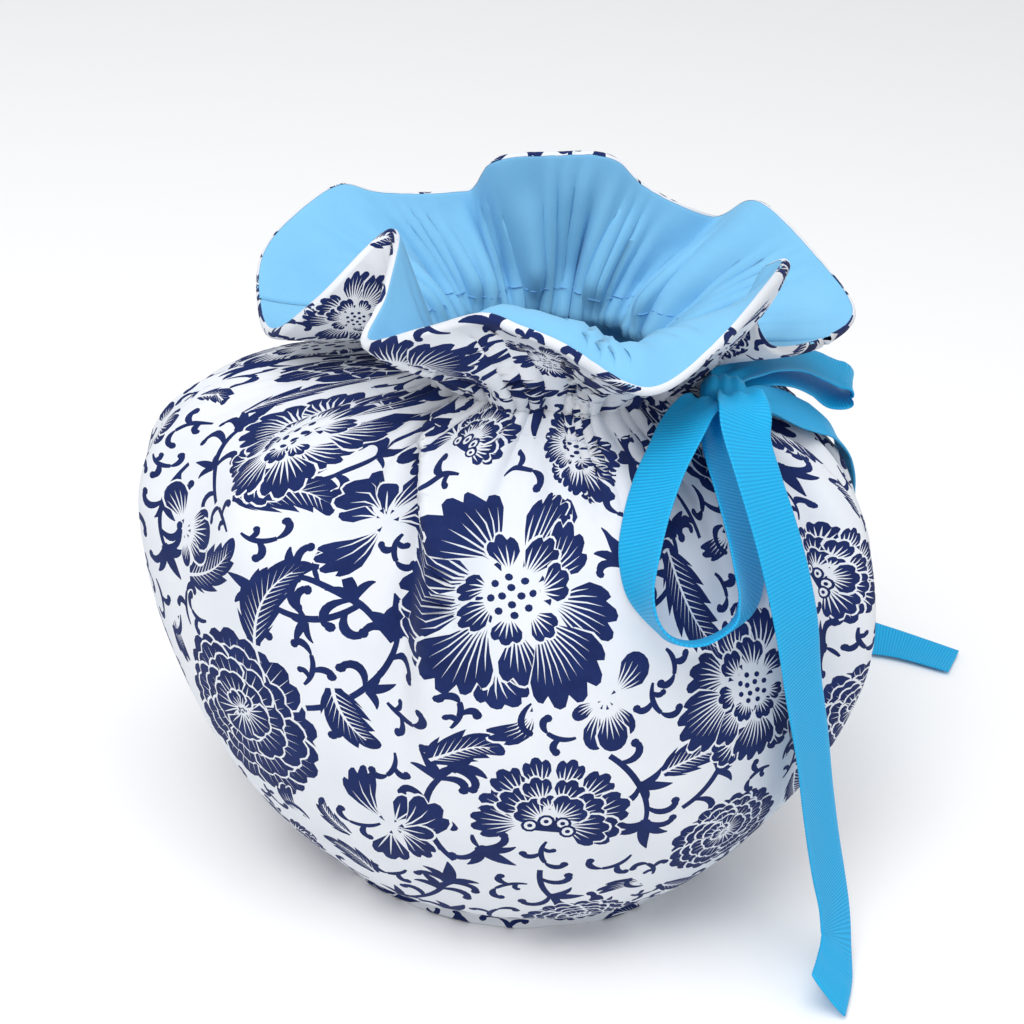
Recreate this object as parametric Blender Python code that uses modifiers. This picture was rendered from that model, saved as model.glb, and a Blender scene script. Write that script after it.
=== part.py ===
"""A drawstring tea cosy standing on its hem, as it hangs over a round teapot.

Two printed panels meet at seams on the spout side (-X) and the handle side (+X).
Each seam has a slit that a spout or a handle passes through. The panels are drawn in
to a narrow neck, and above it they stand out as a wide ruffle. Two plain panels line
them. A flat ribbon leaves the neck at the front right, tied in a bow with two tails.

Tables are in millimetres, and the model is in metres with +Z up. The front is -Y.
"""

from collections import namedtuple

import bpy
import numpy as np

MM = 0.001

# Driving dimensions, in millimetres
CLOTH_THICK = 1.2
LINING_THICK = 1.0
LAYER_GAP = 1.0
SEAM_GAP = 1.6
LINING_ABOVE_HEM = 1.5
LINING_BELOW_RIM = 1.2
RUFFLE_WIDTH = 46.0
RIBBON_WIDTH = 15.0
RIBBON_THICK = 1.0

# The middle of the whole part's box in plan, which becomes the origin
BOX_MIDDLE = (19.35, 17.92, 0.0)

PANEL_COLUMNS = 40
RUFFLE_ROWS = 6
RIBBON_STEP = 7.0

# How far the body reaches to each side at a height, from the hem up to the neck
Section = namedtuple("Section", "height spout_side handle_side front back")
SECTIONS = [
    Section(0, 53, 53, 52, 50),
    Section(4, 53, 53, 52, 50),
    Section(12, 64, 62, 62, 58),
    Section(26, 77, 73, 71, 67),
    Section(46, 90, 84, 79, 75),
    Section(66, 98, 88.5, 82, 79),
    Section(86, 102, 88, 80, 77),
    Section(104, 101, 84, 74, 70),
    Section(118, 94, 77, 63, 61),
    Section(128, 80, 65, 52, 50),
    Section(134, 61, 50, 43, 42),
    Section(138, 42, 39, 36, 35),
    Section(141, 33, 33, 32, 32),
]

# Long folds that run down from the neck. share is the place round the cloth, from
# the spout seam at 0 past the front at 0.25 to the handle seam at 0.5; depth is
# outwards; low and high are the section numbers between which the fold grows.
Fold = namedtuple("Fold", "share depth width low high")
FOLDS = [
    Fold(0.045, 3.0, 0.020, 4.0, 8.0),
    Fold(0.085, -3.5, 0.020, 4.5, 8.5),
    Fold(0.125, 3.5, 0.020, 5.0, 9.0),
    Fold(0.160, -2.5, 0.014, 5.5, 9.0),
    Fold(0.187, -5.0, 0.011, 3.5, 7.5),
    Fold(0.215, 4.0, 0.018, 4.0, 9.0),
    Fold(0.262, -3.0, 0.016, 6.0, 9.5),
    Fold(0.300, 3.5, 0.020, 5.5, 9.0),
    Fold(0.340, -4.0, 0.016, 4.5, 8.5),
    Fold(0.375, 3.0, 0.016, 4.5, 8.5),
    Fold(0.408, -4.5, 0.014, 3.5, 7.0),
    Fold(0.440, 4.0, 0.016, 3.0, 7.0),
    Fold(0.468, -6.0, 0.012, 3.0, 6.5),
    Fold(0.545, -4.5, 0.016, 3.5, 7.5),
    Fold(0.590, 4.0, 0.020, 4.0, 8.0),
    Fold(0.635, -3.5, 0.018, 5.0, 9.0),
    Fold(0.680, 3.5, 0.020, 4.5, 8.5),
    Fold(0.725, -4.5, 0.015, 3.5, 8.0),
    Fold(0.770, 3.5, 0.020, 4.5, 9.0),
    Fold(0.815, -3.0, 0.018, 5.5, 9.0),
    Fold(0.860, 4.0, 0.020, 4.0, 8.5),
    Fold(0.910, -4.0, 0.018, 4.0, 8.0),
    Fold(0.950, 3.0, 0.018, 4.5, 8.0),
]

# A slit in each side seam, between two section numbers, and how it lies
Slit = namedtuple("Slit", "share low high front_edge back_edge lift sink reach")
SPOUT_SLIT = Slit(0.0, 6.0, 11.2, 14.0, 14.0, 9.0, 9.0, 0.050)
HANDLE_SLIT = Slit(0.5, 4.4, 9.2, 9.0, 9.0, 2.0, 2.0, 0.040)

# The ruffle's rim, from the spout side round the front and back again. flare is how
# far the cloth leans out where it leaves the neck, and curl how far it turns up again
# at the rim.
RimPoint = namedtuple("RimPoint", "x y z flare curl slack")
RIM = [
    RimPoint(-75, 4, 148, 0.5, 0.0, 0),
    RimPoint(-69, -14, 147, 0.6, 0.0, 0),
    RimPoint(-57, -22, 160, 0.6, 0.0, 0),
    RimPoint(-41, -20, 178, 0.6, 0.0, 0),
    RimPoint(-41, -30, 166, 0.7, 0.3, 0),
    RimPoint(-44, -39, 157, 0.7, 0.3, 0),
    RimPoint(-30, -43, 163, 0.5, 0.0, 3),
    RimPoint(-17, -41, 167, 0.1, -0.5, 6),
    RimPoint(-8, -45, 166.5, 0.0, -0.6, 6),
    RimPoint(2, -48, 164.5, -0.1, -0.7, 6),
    RimPoint(22, -55, 158.5, 0.0, -0.7, 6),
    RimPoint(38, -41, 165, 0.1, -0.4, 5),
    RimPoint(54, -16, 176, 0.7, 0.4, 2),
    RimPoint(51, -9, 173, 0.8, 0.4, 0),
    RimPoint(48.5, -8, 164, 0.7, 0.2, 0),
    RimPoint(50, -9, 156.5, 0.6, 0.0, 0),
    RimPoint(56, -8, 151.5, 0.6, 0.0, 0),
    RimPoint(68, 0, 152, 0.5, 0.0, 0),
    RimPoint(75, 8, 157, 0.4, 0.0, 0),
    RimPoint(67, 22, 164, 0.3, 0.0, 0),
    RimPoint(51, 35, 174, 0.2, 0.0, 0),
    RimPoint(42, 45, 166, 0.3, 0.0, 0),
    RimPoint(31, 42, 169, 0.2, 0.0, 0),
    RimPoint(19, 40, 175, 0.1, 0.0, 0),
    RimPoint(10, 36, 183, 0.0, 0.0, 0),
    RimPoint(-4, 34, 183, 0.0, 0.0, 0),
    RimPoint(-18, 32, 181, 0.0, 0.0, 0),
    RimPoint(-24, 42, 169, 0.2, 0.0, 0),
    RimPoint(-34, 38, 168, 0.2, 0.0, 0),
    RimPoint(-48, 35, 168, 0.3, 0.0, 0),
    RimPoint(-59, 35, 169, 0.3, 0.0, 0),
    RimPoint(-70, 27, 162, 0.4, 0.0, 0),
    RimPoint(-76, 17, 155, 0.5, 0.0, 0),
]

# The rim point at the handle side's seam
HANDLE_SEAM_POINT = 17

# The slack column of RIM: the lining bows in most near the rim, and the print out by less
SLACK_BIAS = 1.6
PRINT_SLACK = 0.5

# The neck's gathers, two columns of the grid to a ridge
GATHER_DEPTH = 1.3
GATHER_REACH = 4.0

# The ribbon's runs from the knot: the middle of the band, and which way its width lies
KNOT_AT = (43.0, -18.5, 143.2)
KNOT_HALF = (5.0, 4.5, 4.3)
PINCH = 0.5
PINCH_REACH = 22.0
RibbonPoint = namedtuple("RibbonPoint", "x y z across_x across_y across_z")
RIBBON_RUNS = {
    "tail_front": [
        RibbonPoint(46.5, -23.8, 145.8, 1.0, 0.0, 0.0),
        RibbonPoint(46.5, -30, 148.5, 0.85, 0.5, 0.0),
        RibbonPoint(47, -38, 148.5, 0.8, 0.55, -0.1),
        RibbonPoint(47.5, -45, 145, 0.8, 0.6, -0.2),
        RibbonPoint(51, -53, 138, 0.76, 0.6, -0.2),
        RibbonPoint(55.7, -59, 128, 0.76, 0.6, -0.2),
        RibbonPoint(60, -63, 117, 0.72, 0.65, -0.1),
        RibbonPoint(64, -65, 104, 0.66, 0.7, 0.0),
        RibbonPoint(67.7, -64, 88, 0.6, 0.8, 0.0),
        RibbonPoint(72.4, -61, 70, 0.55, 0.82, 0.0),
        RibbonPoint(76.5, -58, 52, 0.54, 0.84, 0.0),
        RibbonPoint(81, -55, 34, 0.54, 0.84, 0.0),
        RibbonPoint(85, -54, 20, 0.56, 0.75, -0.3),
        RibbonPoint(87, -57, 10.5, 0.6, 0.4, -0.65),
        RibbonPoint(87, -64, 7, 0.64, 0.0, -0.76),
        RibbonPoint(85.7, -71, 6.9, 0.66, 0.0, -0.75),
        RibbonPoint(84, -78, 6.6, 0.68, 0.0, -0.73),
    ],
    "loop_front": [
        RibbonPoint(39.5, -23.8, 144, 1.0, 0.0, 0.0),
        RibbonPoint(37.5, -30.5, 146, 0.85, -0.3, 0.1),
        RibbonPoint(34, -38, 145, 0.8, -0.5, 0.3),
        RibbonPoint(31, -46, 141.5, 0.75, -0.55, 0.35),
        RibbonPoint(27.8, -54, 136.5, 0.72, -0.6, 0.35),
        RibbonPoint(25.5, -63, 130.5, 0.68, -0.65, 0.38),
        RibbonPoint(24.6, -70, 124.5, 0.6, -0.7, 0.39),
        RibbonPoint(25.4, -76, 117.5, 0.4, -0.8, 0.45),
        RibbonPoint(28.7, -79.3, 111.6, 0.15, -0.87, 0.48),
        RibbonPoint(33.2, -79.8, 107.8, 0.0, -0.87, 0.48),
        RibbonPoint(38.2, -78, 106, 0.0, -0.87, 0.48),
        RibbonPoint(43.2, -74.5, 106, -0.05, -0.87, 0.48),
        RibbonPoint(47.4, -70.5, 107.4, -0.15, -0.85, 0.46),
        RibbonPoint(50.2, -66.5, 110.8, -0.35, -0.8, 0.42),
        RibbonPoint(51, -62, 114.8, -0.5, -0.75, 0.4),
        RibbonPoint(50.2, -56.5, 120, -0.6, -0.7, 0.38),
        RibbonPoint(48.2, -50.5, 126, -0.68, -0.65, 0.36),
        RibbonPoint(45.8, -44, 131.5, -0.72, -0.6, 0.35),
        RibbonPoint(43.6, -37.5, 136.2, -0.8, -0.5, 0.3),
        RibbonPoint(42.5, -31, 139.2, -0.9, -0.3, 0.2),
        RibbonPoint(42.3, -23.8, 140.5, -1.0, 0.0, 0.0),
    ],
    "tail_back": [
        RibbonPoint(51, -19.4, 142.3, 0.0, 1.0, 0.0),
        RibbonPoint(54.5, -15, 140.5, -0.1, 1.0, 0.1),
        RibbonPoint(60.5, -7, 136, -0.2, 0.95, 0.15),
        RibbonPoint(66, 0, 131.8, -0.2, 0.95, 0.1),
        RibbonPoint(72, 7, 126.5, -0.2, 0.95, 0.0),
        RibbonPoint(78, 15, 118, -0.2, 0.95, 0.0),
        RibbonPoint(82, 26, 106, -0.25, 0.9, 0.15),
        RibbonPoint(83.5, 39.5, 92, -0.25, 0.85, 0.3),
        RibbonPoint(78.5, 53, 75, -0.1, 0.8, 0.45),
        RibbonPoint(73, 65, 56, 0.1, 0.8, 0.5),
        RibbonPoint(75, 81, 36, 0.25, 0.78, 0.53),
        RibbonPoint(81, 98, 18, 0.36, 0.76, 0.54),
        RibbonPoint(91, 110.5, 7.4, 0.4, 0.8, 0.48),
        RibbonPoint(105, 115.03, 3.8, 0.42, 0.85, 0.33),
        RibbonPoint(121, 114.0, 2.0, 0.42, 0.88, 0.1),
        RibbonPoint(139.106, 107.5, 0.95, 0.42, 0.9, 0.0),
    ],
    "loop_back": [
        RibbonPoint(43.5, -12.3, 144.6, -1.0, 0.0, 0.0),
        RibbonPoint(47, -6, 144.5, -0.9, 0.4, 0.1),
        RibbonPoint(53, 4, 144, -0.7, 0.7, 0.1),
        RibbonPoint(61, 15, 140.5, -0.5, 0.85, 0.1),
        RibbonPoint(69, 23, 136, -0.2, 0.95, 0.1),
        RibbonPoint(75, 27, 132.8, 0.05, 0.95, 0.05),
        RibbonPoint(79.5, 28.5, 130.7, 0.1, 0.95, 0.0),
        RibbonPoint(81, 29, 128.2, 0.1, 0.95, 0.0),
        RibbonPoint(79, 28.5, 125.8, 0.1, 0.95, 0.0),
        RibbonPoint(73, 26.5, 127.5, 0.0, 0.95, 0.1),
        RibbonPoint(66, 22, 132, -0.3, 0.95, 0.1),
        RibbonPoint(59, 14.5, 136.5, -0.5, 0.85, 0.1),
        RibbonPoint(51.5, 4.5, 140.2, -0.7, 0.7, 0.1),
        RibbonPoint(45, -5, 141.3, -0.9, 0.4, 0.1),
        RibbonPoint(43, -12.3, 141, -1.0, 0.0, 0.0),
    ],
}


def catmull_rom(rows, at, closed=False):
    """Rows of numbers as a smooth curve through them, read at these row numbers."""
    rows = np.asarray(rows, float)
    at = np.atleast_1d(np.asarray(at, float))
    count = len(rows)
    if closed:
        first = np.floor(at).astype(int)
    else:
        first = np.clip(np.floor(at).astype(int), 0, count - 2)
    part = (at - first)[:, None]
    near = first[:, None] + np.array([-1, 0, 1, 2])
    near = near % count if closed else np.clip(near, 0, count - 1)
    before, start, end, after = (rows[near[:, k]] for k in range(4))
    return 0.5 * (
        2 * start
        + (end - before) * part
        + (2 * before - 5 * start + 4 * end - after) * part**2
        + (3 * start - before - 3 * end + after) * part**3
    )


def smooth_step(low, high, at):
    part = np.clip((at - low) / (high - low), 0, 1)
    return part * part * (3 - 2 * part)


def round_distance(share, centre):
    """How far round the cloth a share is from another, from -0.5 to 0.5."""
    return (share - centre + 0.5) % 1 - 0.5


def bearing(share):
    """The outward direction in plan at each share."""
    angle = 2 * np.pi * share - np.pi / 2
    return np.sin(angle), -np.cos(angle)


def body_points(share, level):
    """Points of the body. level is a section number, from 0 at the hem."""
    height, spout_side, handle_side, front, back = catmull_rom(SECTIONS, level).T
    out_x, out_y = bearing(share)
    half_x = np.where(out_x > 0, handle_side, spout_side)
    half_y = np.where(out_y < 0, front, back)
    push = fold_depth(share, level) + gathers(share, level)
    x = half_x * out_x + push * out_x
    y = half_y * out_y + push * out_y
    points = np.stack([x, y, height], axis=1)
    for slit in (SPOUT_SLIT, HANDLE_SLIT):
        points += slit_shift(slit, share, level)
    return points


def fold_depth(share, level):
    """How far the folds push the cloth out, fading out into the neck."""
    depth = np.zeros_like(share)
    for fold in FOLDS:
        across = round_distance(share, fold.share) / fold.width
        depth += fold.depth * np.exp(-across * across) * smooth_step(fold.low, fold.high, level)
    return depth * (1 - 0.75 * smooth_step(9, len(SECTIONS) - 1, level))


def slit_shift(slit, share, level):
    """Opens a slit: its edges part, the front one lifts and the back one sinks."""
    along = np.clip((level - slit.low) / (slit.high - slit.low), 0, 1)
    opening = np.sin(np.pi * along) ** 1.3
    away = round_distance(share, slit.share)
    to_front = (away > 0) == (slit.share == 0)
    near = np.exp(-np.abs(away) / slit.reach) * opening
    part_y = np.where(to_front, -slit.front_edge, slit.back_edge) * near
    lift_z = np.where(to_front, slit.lift, -slit.sink) * near
    return np.stack([np.zeros_like(share), part_y, lift_z], axis=1)


def gathers(share, level):
    """The ridges that the drawn-in neck leaves, fading to both sides of it."""
    top = len(SECTIONS) - 1.0
    ridge = np.cos(np.pi * PANEL_COLUMNS * share)
    from_seam = np.abs((share + 0.25) % 0.5 - 0.25)
    ridge *= smooth_step(0, 0.05, from_seam)
    below = np.clip((top - level) / GATHER_REACH, 0, 1)
    above = np.clip((level - top) / 0.8, 0, 1)
    return GATHER_DEPTH * ridge * (1 - below) ** 2 * (1 - above)


def rim_table():
    """The rim as a closed curve, with the share of the way round at each point."""
    fine = 24
    at = np.arange(len(RIM) * fine + 1) / fine
    curve = catmull_rom(RIM, at, closed=True)
    steps = np.linalg.norm(np.diff(curve[:, :3], axis=0), axis=1)
    length = np.concatenate([[0], np.cumsum(steps)])
    seam = length[HANDLE_SEAM_POINT * fine]
    shares = np.interp(length, [0, seam, length[-1]], [0, 0.5, 1])
    return shares, curve


def ruffle_points(share, out):
    """Points of the ruffle. out runs from 0 at the neck to 1 at the rim."""
    shares, curve = rim_table()
    rim = np.stack([np.interp(share % 1, shares, curve[:, k]) for k in range(6)], axis=1)
    rim, flare, curl = rim[:, :3], rim[:, 3:4], rim[:, 4:5]
    top = len(SECTIONS) - 1.0
    neck = body_points(share, np.full_like(share, top))
    out_x, out_y = bearing(share)
    outward = np.stack([out_x, out_y, np.zeros_like(share)], axis=1)
    upward = np.array([0.0, 0.0, 1.0])
    chord = rim - neck
    length = np.linalg.norm(chord, axis=1, keepdims=True)
    leave = upward + (0.2 + flare) * outward
    leave *= np.minimum(RUFFLE_WIDTH, 1.2 * length) / np.linalg.norm(leave, axis=1, keepdims=True)
    arrive = chord / length + curl * (upward - 0.4 * outward)
    arrive *= length / np.linalg.norm(arrive, axis=1, keepdims=True)
    s = out[:, None]
    return (
        (2 * s**3 - 3 * s**2 + 1) * neck
        + (s**3 - 2 * s**2 + s) * leave
        + (3 * s**2 - 2 * s**3) * rim
        + (s**3 - s**2) * arrive
    )


def lining_slack(share, level):
    """How far the lining stands off the print where the front of the ruffle is full."""
    shares, curve = rim_table()
    slack = np.maximum(np.interp(share % 1, shares, curve[:, 5]), 0)
    out = np.clip(level - (len(SECTIONS) - 1), 0, 1)
    return slack * np.sin(np.pi * out**SLACK_BIAS)


def cloth_points(share, level):
    """Points of the whole cloth. Past the last section, level goes on to the rim."""
    top = len(SECTIONS) - 1.0
    body = body_points(share, np.minimum(level, top))
    ruffle = ruffle_points(share, np.clip(level - top, 0, 1))
    return np.where((level > top)[:, None], ruffle, body)


def levels(first, last):
    """The rows of the cloth's grid, between two levels."""
    top = len(SECTIONS) - 1
    rows = [*range(top + 1), *(top + k / RUFFLE_ROWS for k in range(1, RUFFLE_ROWS + 1))]
    inner = [row for row in rows if first < row < last]
    return np.array([first, *inner, last], float)


def placed(points):
    """Millimetres about the hem's middle as metres about the origin."""
    return (np.asarray(points, float) - BOX_MIDDLE) * MM


def grid_object(name, points, rows, columns, collection):
    """A mesh object of an open grid of points, with its faces pointing outwards."""
    corner = np.arange(rows * columns).reshape(rows, columns)
    faces = np.stack(
        [corner[:-1, :-1], corner[:-1, 1:], corner[1:, 1:], corner[1:, :-1]], axis=-1
    ).reshape(-1, 4)
    mesh = bpy.data.meshes.new(name)
    mesh.from_pydata(placed(points).tolist(), [], faces.tolist())
    mesh.shade_smooth()
    made = bpy.data.objects.new(name, mesh)
    collection.objects.link(made)
    return made


def thicken(obj, thick, side):
    """Solidify towards the outside (side 1), the inside (-1) or both (0)."""
    solid = obj.modifiers.new("thickness", "SOLIDIFY")
    solid.thickness = thick * MM
    solid.offset = side
    solid.use_even_offset = False


def grid_normals(points, rows, columns):
    """The outward direction of the cloth at each grid point."""
    grid = points.reshape(rows, columns, 3)
    along = np.gradient(grid, axis=0)
    across = np.gradient(grid, axis=1)
    normal = np.cross(across, along)
    return (normal / np.linalg.norm(normal, axis=2, keepdims=True)).reshape(-1, 3)


def shares_and_levels(first_share, rows):
    """Where each grid point of a panel lies, which covers half of the way round."""
    share = np.linspace(first_share, first_share + 0.5, PANEL_COLUMNS + 1)
    share[0] += 1e-9
    share[-1] -= 1e-9
    share_grid, level_grid = np.meshgrid(share, rows)
    return share_grid.ravel(), level_grid.ravel()


def panel_grid(first_share, rows):
    """Grid points of one panel, with its seam edges drawn in a little."""
    points = cloth_points(*shares_and_levels(first_share, rows))
    grid = points.reshape(len(rows), -1, 3)
    for edge, inner in ((0, 1), (-1, -2)):
        inwards = grid[:, inner] - grid[:, edge]
        inwards /= np.linalg.norm(inwards, axis=1, keepdims=True)
        grid[:, edge] += inwards * SEAM_GAP / 2
    return grid.reshape(-1, 3)


def cloth_panel(name, first_share, material, collection):
    top = len(SECTIONS) - 1
    rows = levels(0, top + 1)
    points = panel_grid(first_share, rows)
    outwards = PRINT_SLACK * lining_slack(*shares_and_levels(first_share, rows))
    points += outwards[:, None] * grid_normals(points, len(rows), PANEL_COLUMNS + 1)
    panel = grid_object(name, points, len(rows), PANEL_COLUMNS + 1, collection)
    thicken(panel, CLOTH_THICK, 1)
    panel.data.materials.append(material)
    return panel


def lining_panel(name, first_share, material, collection):
    top = len(SECTIONS) - 1
    hem_height = SECTIONS[1].height - SECTIONS[0].height
    rows = levels(LINING_ABOVE_HEM / hem_height, top + 1 - LINING_BELOW_RIM / RUFFLE_WIDTH)
    points = panel_grid(first_share, rows)
    inwards = LAYER_GAP + lining_slack(*shares_and_levels(first_share, rows))
    points -= inwards[:, None] * grid_normals(points, len(rows), PANEL_COLUMNS + 1)
    lining = grid_object(name, points, len(rows), PANEL_COLUMNS + 1, collection)
    thicken(lining, LINING_THICK, -1)
    lining.data.materials.append(material)
    return lining


def ribbon_frames(name):
    """The middle and the half width along a run, at even steps."""
    fine = 16
    at = np.arange((len(RIBBON_RUNS[name]) - 1) * fine + 1) / fine
    curve = catmull_rom(RIBBON_RUNS[name], at)
    steps = np.linalg.norm(np.diff(curve[:, :3], axis=0), axis=1)
    length = np.concatenate([[0], np.cumsum(steps)])
    even = np.linspace(0, length[-1], int(round(length[-1] / RIBBON_STEP)) + 1)
    curve = np.stack([np.interp(even, length, curve[:, k]) for k in range(6)], axis=1)
    middle, across = curve[:, :3], curve[:, 3:]
    along = np.gradient(middle, axis=0)
    along /= np.linalg.norm(along, axis=1, keepdims=True)
    across = across - along * np.sum(across * along, axis=1, keepdims=True)
    across /= np.linalg.norm(across, axis=1, keepdims=True)
    from_knot = even if name.startswith("tail") else np.minimum(even, even[-1] - even)
    width = RIBBON_WIDTH * (PINCH + (1 - PINCH) * smooth_step(0, PINCH_REACH, from_knot))
    return middle, across * width[:, None] / 2


def ribbon_run(name, material, collection):
    middle, side = ribbon_frames(name)
    points = np.stack([middle - side, middle + side], axis=1).reshape(-1, 3)
    run = grid_object(name, points, len(middle), 2, collection)
    thicken(run, RIBBON_THICK, 0)
    run.data.materials.append(material)
    return run


def ribbon_knot(material, collection):
    bpy.ops.mesh.primitive_cube_add(size=2)
    knot = bpy.context.object
    knot.name = knot.data.name = "ribbon_knot"
    for vertex in knot.data.vertices:
        vertex.co = placed(np.array(KNOT_AT) + np.array(KNOT_HALF) * vertex.co)
    rounding = knot.modifiers.new("rounding", "BEVEL")
    rounding.width = 2.2 * MM
    rounding.segments = 2
    for owner in list(knot.users_collection):
        owner.objects.unlink(knot)
    collection.objects.link(knot)
    knot.data.materials.append(material)
    return knot


def material(name, colour, roughness):
    made = bpy.data.materials.new(name)
    made.use_nodes = True
    shader = made.node_tree.nodes["Principled BSDF"]
    shader.inputs["Base Color"].default_value = (*colour, 1)
    shader.inputs["Roughness"].default_value = roughness
    shader.inputs["Metallic"].default_value = 0
    return made


def clear_scene():
    for obj in list(bpy.data.objects):
        bpy.data.objects.remove(obj)


def build():
    clear_scene()
    cosy = bpy.data.collections.new("tea_cosy")
    bpy.context.scene.collection.children.link(cosy)
    print_cotton = material("printed_cotton", (0.80, 0.82, 0.88), 0.85)
    plain_cotton = material("plain_cotton", (0.22, 0.52, 0.86), 0.80)
    cloth_panel("panel_front", 0.0, print_cotton, cosy)
    cloth_panel("panel_back", 0.5, print_cotton, cosy)
    lining_panel("lining_front", 0.0, plain_cotton, cosy)
    lining_panel("lining_back", 0.5, plain_cotton, cosy)
    woven_ribbon = material("woven_ribbon", (0.02, 0.36, 0.80), 0.55)
    for name in RIBBON_RUNS:
        ribbon_run(name, woven_ribbon, cosy)
    ribbon_knot(woven_ribbon, cosy)


build()
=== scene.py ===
"""The drawstring tea cosy, dressed: printed panels, lining, stitches and a ribbon bow.

Tables are in millimetres about the middle of the hem, as in the part's own source, and
placed() turns them into metres in the model's frame. The front is -Y.
"""

import math
from collections import namedtuple

import bpy
import numpy as np
from mathutils import Matrix, Vector
from mathutils.geometry import delaunay_2d_cdt

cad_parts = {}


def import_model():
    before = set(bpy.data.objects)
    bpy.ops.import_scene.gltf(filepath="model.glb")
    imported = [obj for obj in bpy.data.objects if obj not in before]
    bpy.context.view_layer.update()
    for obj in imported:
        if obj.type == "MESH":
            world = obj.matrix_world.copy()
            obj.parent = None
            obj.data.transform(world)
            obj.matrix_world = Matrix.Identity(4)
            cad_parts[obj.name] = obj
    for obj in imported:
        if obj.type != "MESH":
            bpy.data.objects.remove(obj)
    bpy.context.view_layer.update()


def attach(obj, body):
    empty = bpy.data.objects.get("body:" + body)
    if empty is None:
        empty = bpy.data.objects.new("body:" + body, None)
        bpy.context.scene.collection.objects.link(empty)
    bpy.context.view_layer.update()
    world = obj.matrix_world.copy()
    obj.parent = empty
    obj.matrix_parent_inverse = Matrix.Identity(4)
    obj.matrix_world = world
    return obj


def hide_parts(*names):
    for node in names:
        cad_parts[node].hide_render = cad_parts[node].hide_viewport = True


MM = 0.001
TAU = 2 * math.pi
BOX_MIDDLE = np.array([19.35, 17.92, 0.0])


def table(kind, rows):
    """Rows of numbers as records of one kind."""
    return [kind(*row) for row in rows]



# The cloth: outer and inner faces from the seam surface, and how its edges turn in
OUTER = 1.2
INNER = -1.6
TURN = (OUTER - INNER) / 2
MIDDLE = (OUTER + INNER) / 2
RUFFLE_WIDTH = 46.0

Section = namedtuple("Section", "height spout_side handle_side front back")
SECTIONS = table(Section, [
    (0, 53, 53, 52, 50),
    (4, 53, 53, 52, 50),
    (12, 64, 62, 62, 58),
    (26, 77, 73, 71, 67),
    (46, 90, 84, 79, 75),
    (66, 98, 88.5, 82, 79),
    (86, 102, 88, 80, 77),
    (104, 101, 84, 74, 70),
    (118, 94, 77, 63, 61),
    (128, 80, 65, 52, 50),
    (134, 61, 50, 43, 42),
    (138, 42, 39, 36, 35),
    (141, 33, 33, 32, 32),
])
TOP = len(SECTIONS) - 1.0

# Where each section lies on the flat cloth, and how wide the cloth is cut there
FlatRow = namedtuple("FlatRow", "v width")
FLAT_ROWS = table(FlatRow, [
    (0, 163.4),
    (4.3, 163.4),
    (17.2, 193.3),
    (33.9, 226.3),
    (55.4, 259.5),
    (75.7, 276.9),
    (95.9, 281.4),
    (115.0, 281.4),
    (133.3, 281.4),
    (148.5, 281.4),
    (159.0, 281.4),
    (166.2, 281.4),
    (170.6, 281.4),
])
NECK_V = 170.6
RIM_V = NECK_V + RUFFLE_WIDTH
SIDE_TURN = 2.2

# The lining's turned edge is this much thinner, and slopes are read over these steps
LINING_THINNER = 0.12
SHARE_STEP = 0.0012
LEVEL_STEP = 0.03

Fold = namedtuple("Fold", "share depth width low high")
FOLDS = table(Fold, [
    (0.045, 3.0, 0.020, 4.0, 8.0),
    (0.085, -3.5, 0.020, 4.5, 8.5),
    (0.125, 3.5, 0.020, 5.0, 9.0),
    (0.160, -2.5, 0.014, 5.5, 9.0),
    (0.187, -5.0, 0.011, 3.5, 7.5),
    (0.215, 4.0, 0.018, 4.0, 9.0),
    (0.262, -3.0, 0.016, 6.0, 9.5),
    (0.300, 3.5, 0.020, 5.5, 9.0),
    (0.340, -4.0, 0.016, 4.5, 8.5),
    (0.375, 3.0, 0.016, 4.5, 8.5),
    (0.408, -4.5, 0.014, 3.5, 7.0),
    (0.440, 4.0, 0.016, 3.0, 7.0),
    (0.468, -6.0, 0.012, 3.0, 6.5),
    (0.545, -4.5, 0.016, 3.5, 7.5),
    (0.590, 4.0, 0.020, 4.0, 8.0),
    (0.635, -3.5, 0.018, 5.0, 9.0),
    (0.680, 3.5, 0.020, 4.5, 8.5),
    (0.725, -4.5, 0.015, 3.5, 8.0),
    (0.770, 3.5, 0.020, 4.5, 9.0),
    (0.815, -3.0, 0.018, 5.5, 9.0),
    (0.860, 4.0, 0.020, 4.0, 8.5),
    (0.910, -4.0, 0.018, 4.0, 8.0),
    (0.950, 3.0, 0.018, 4.5, 8.0),
])

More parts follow.
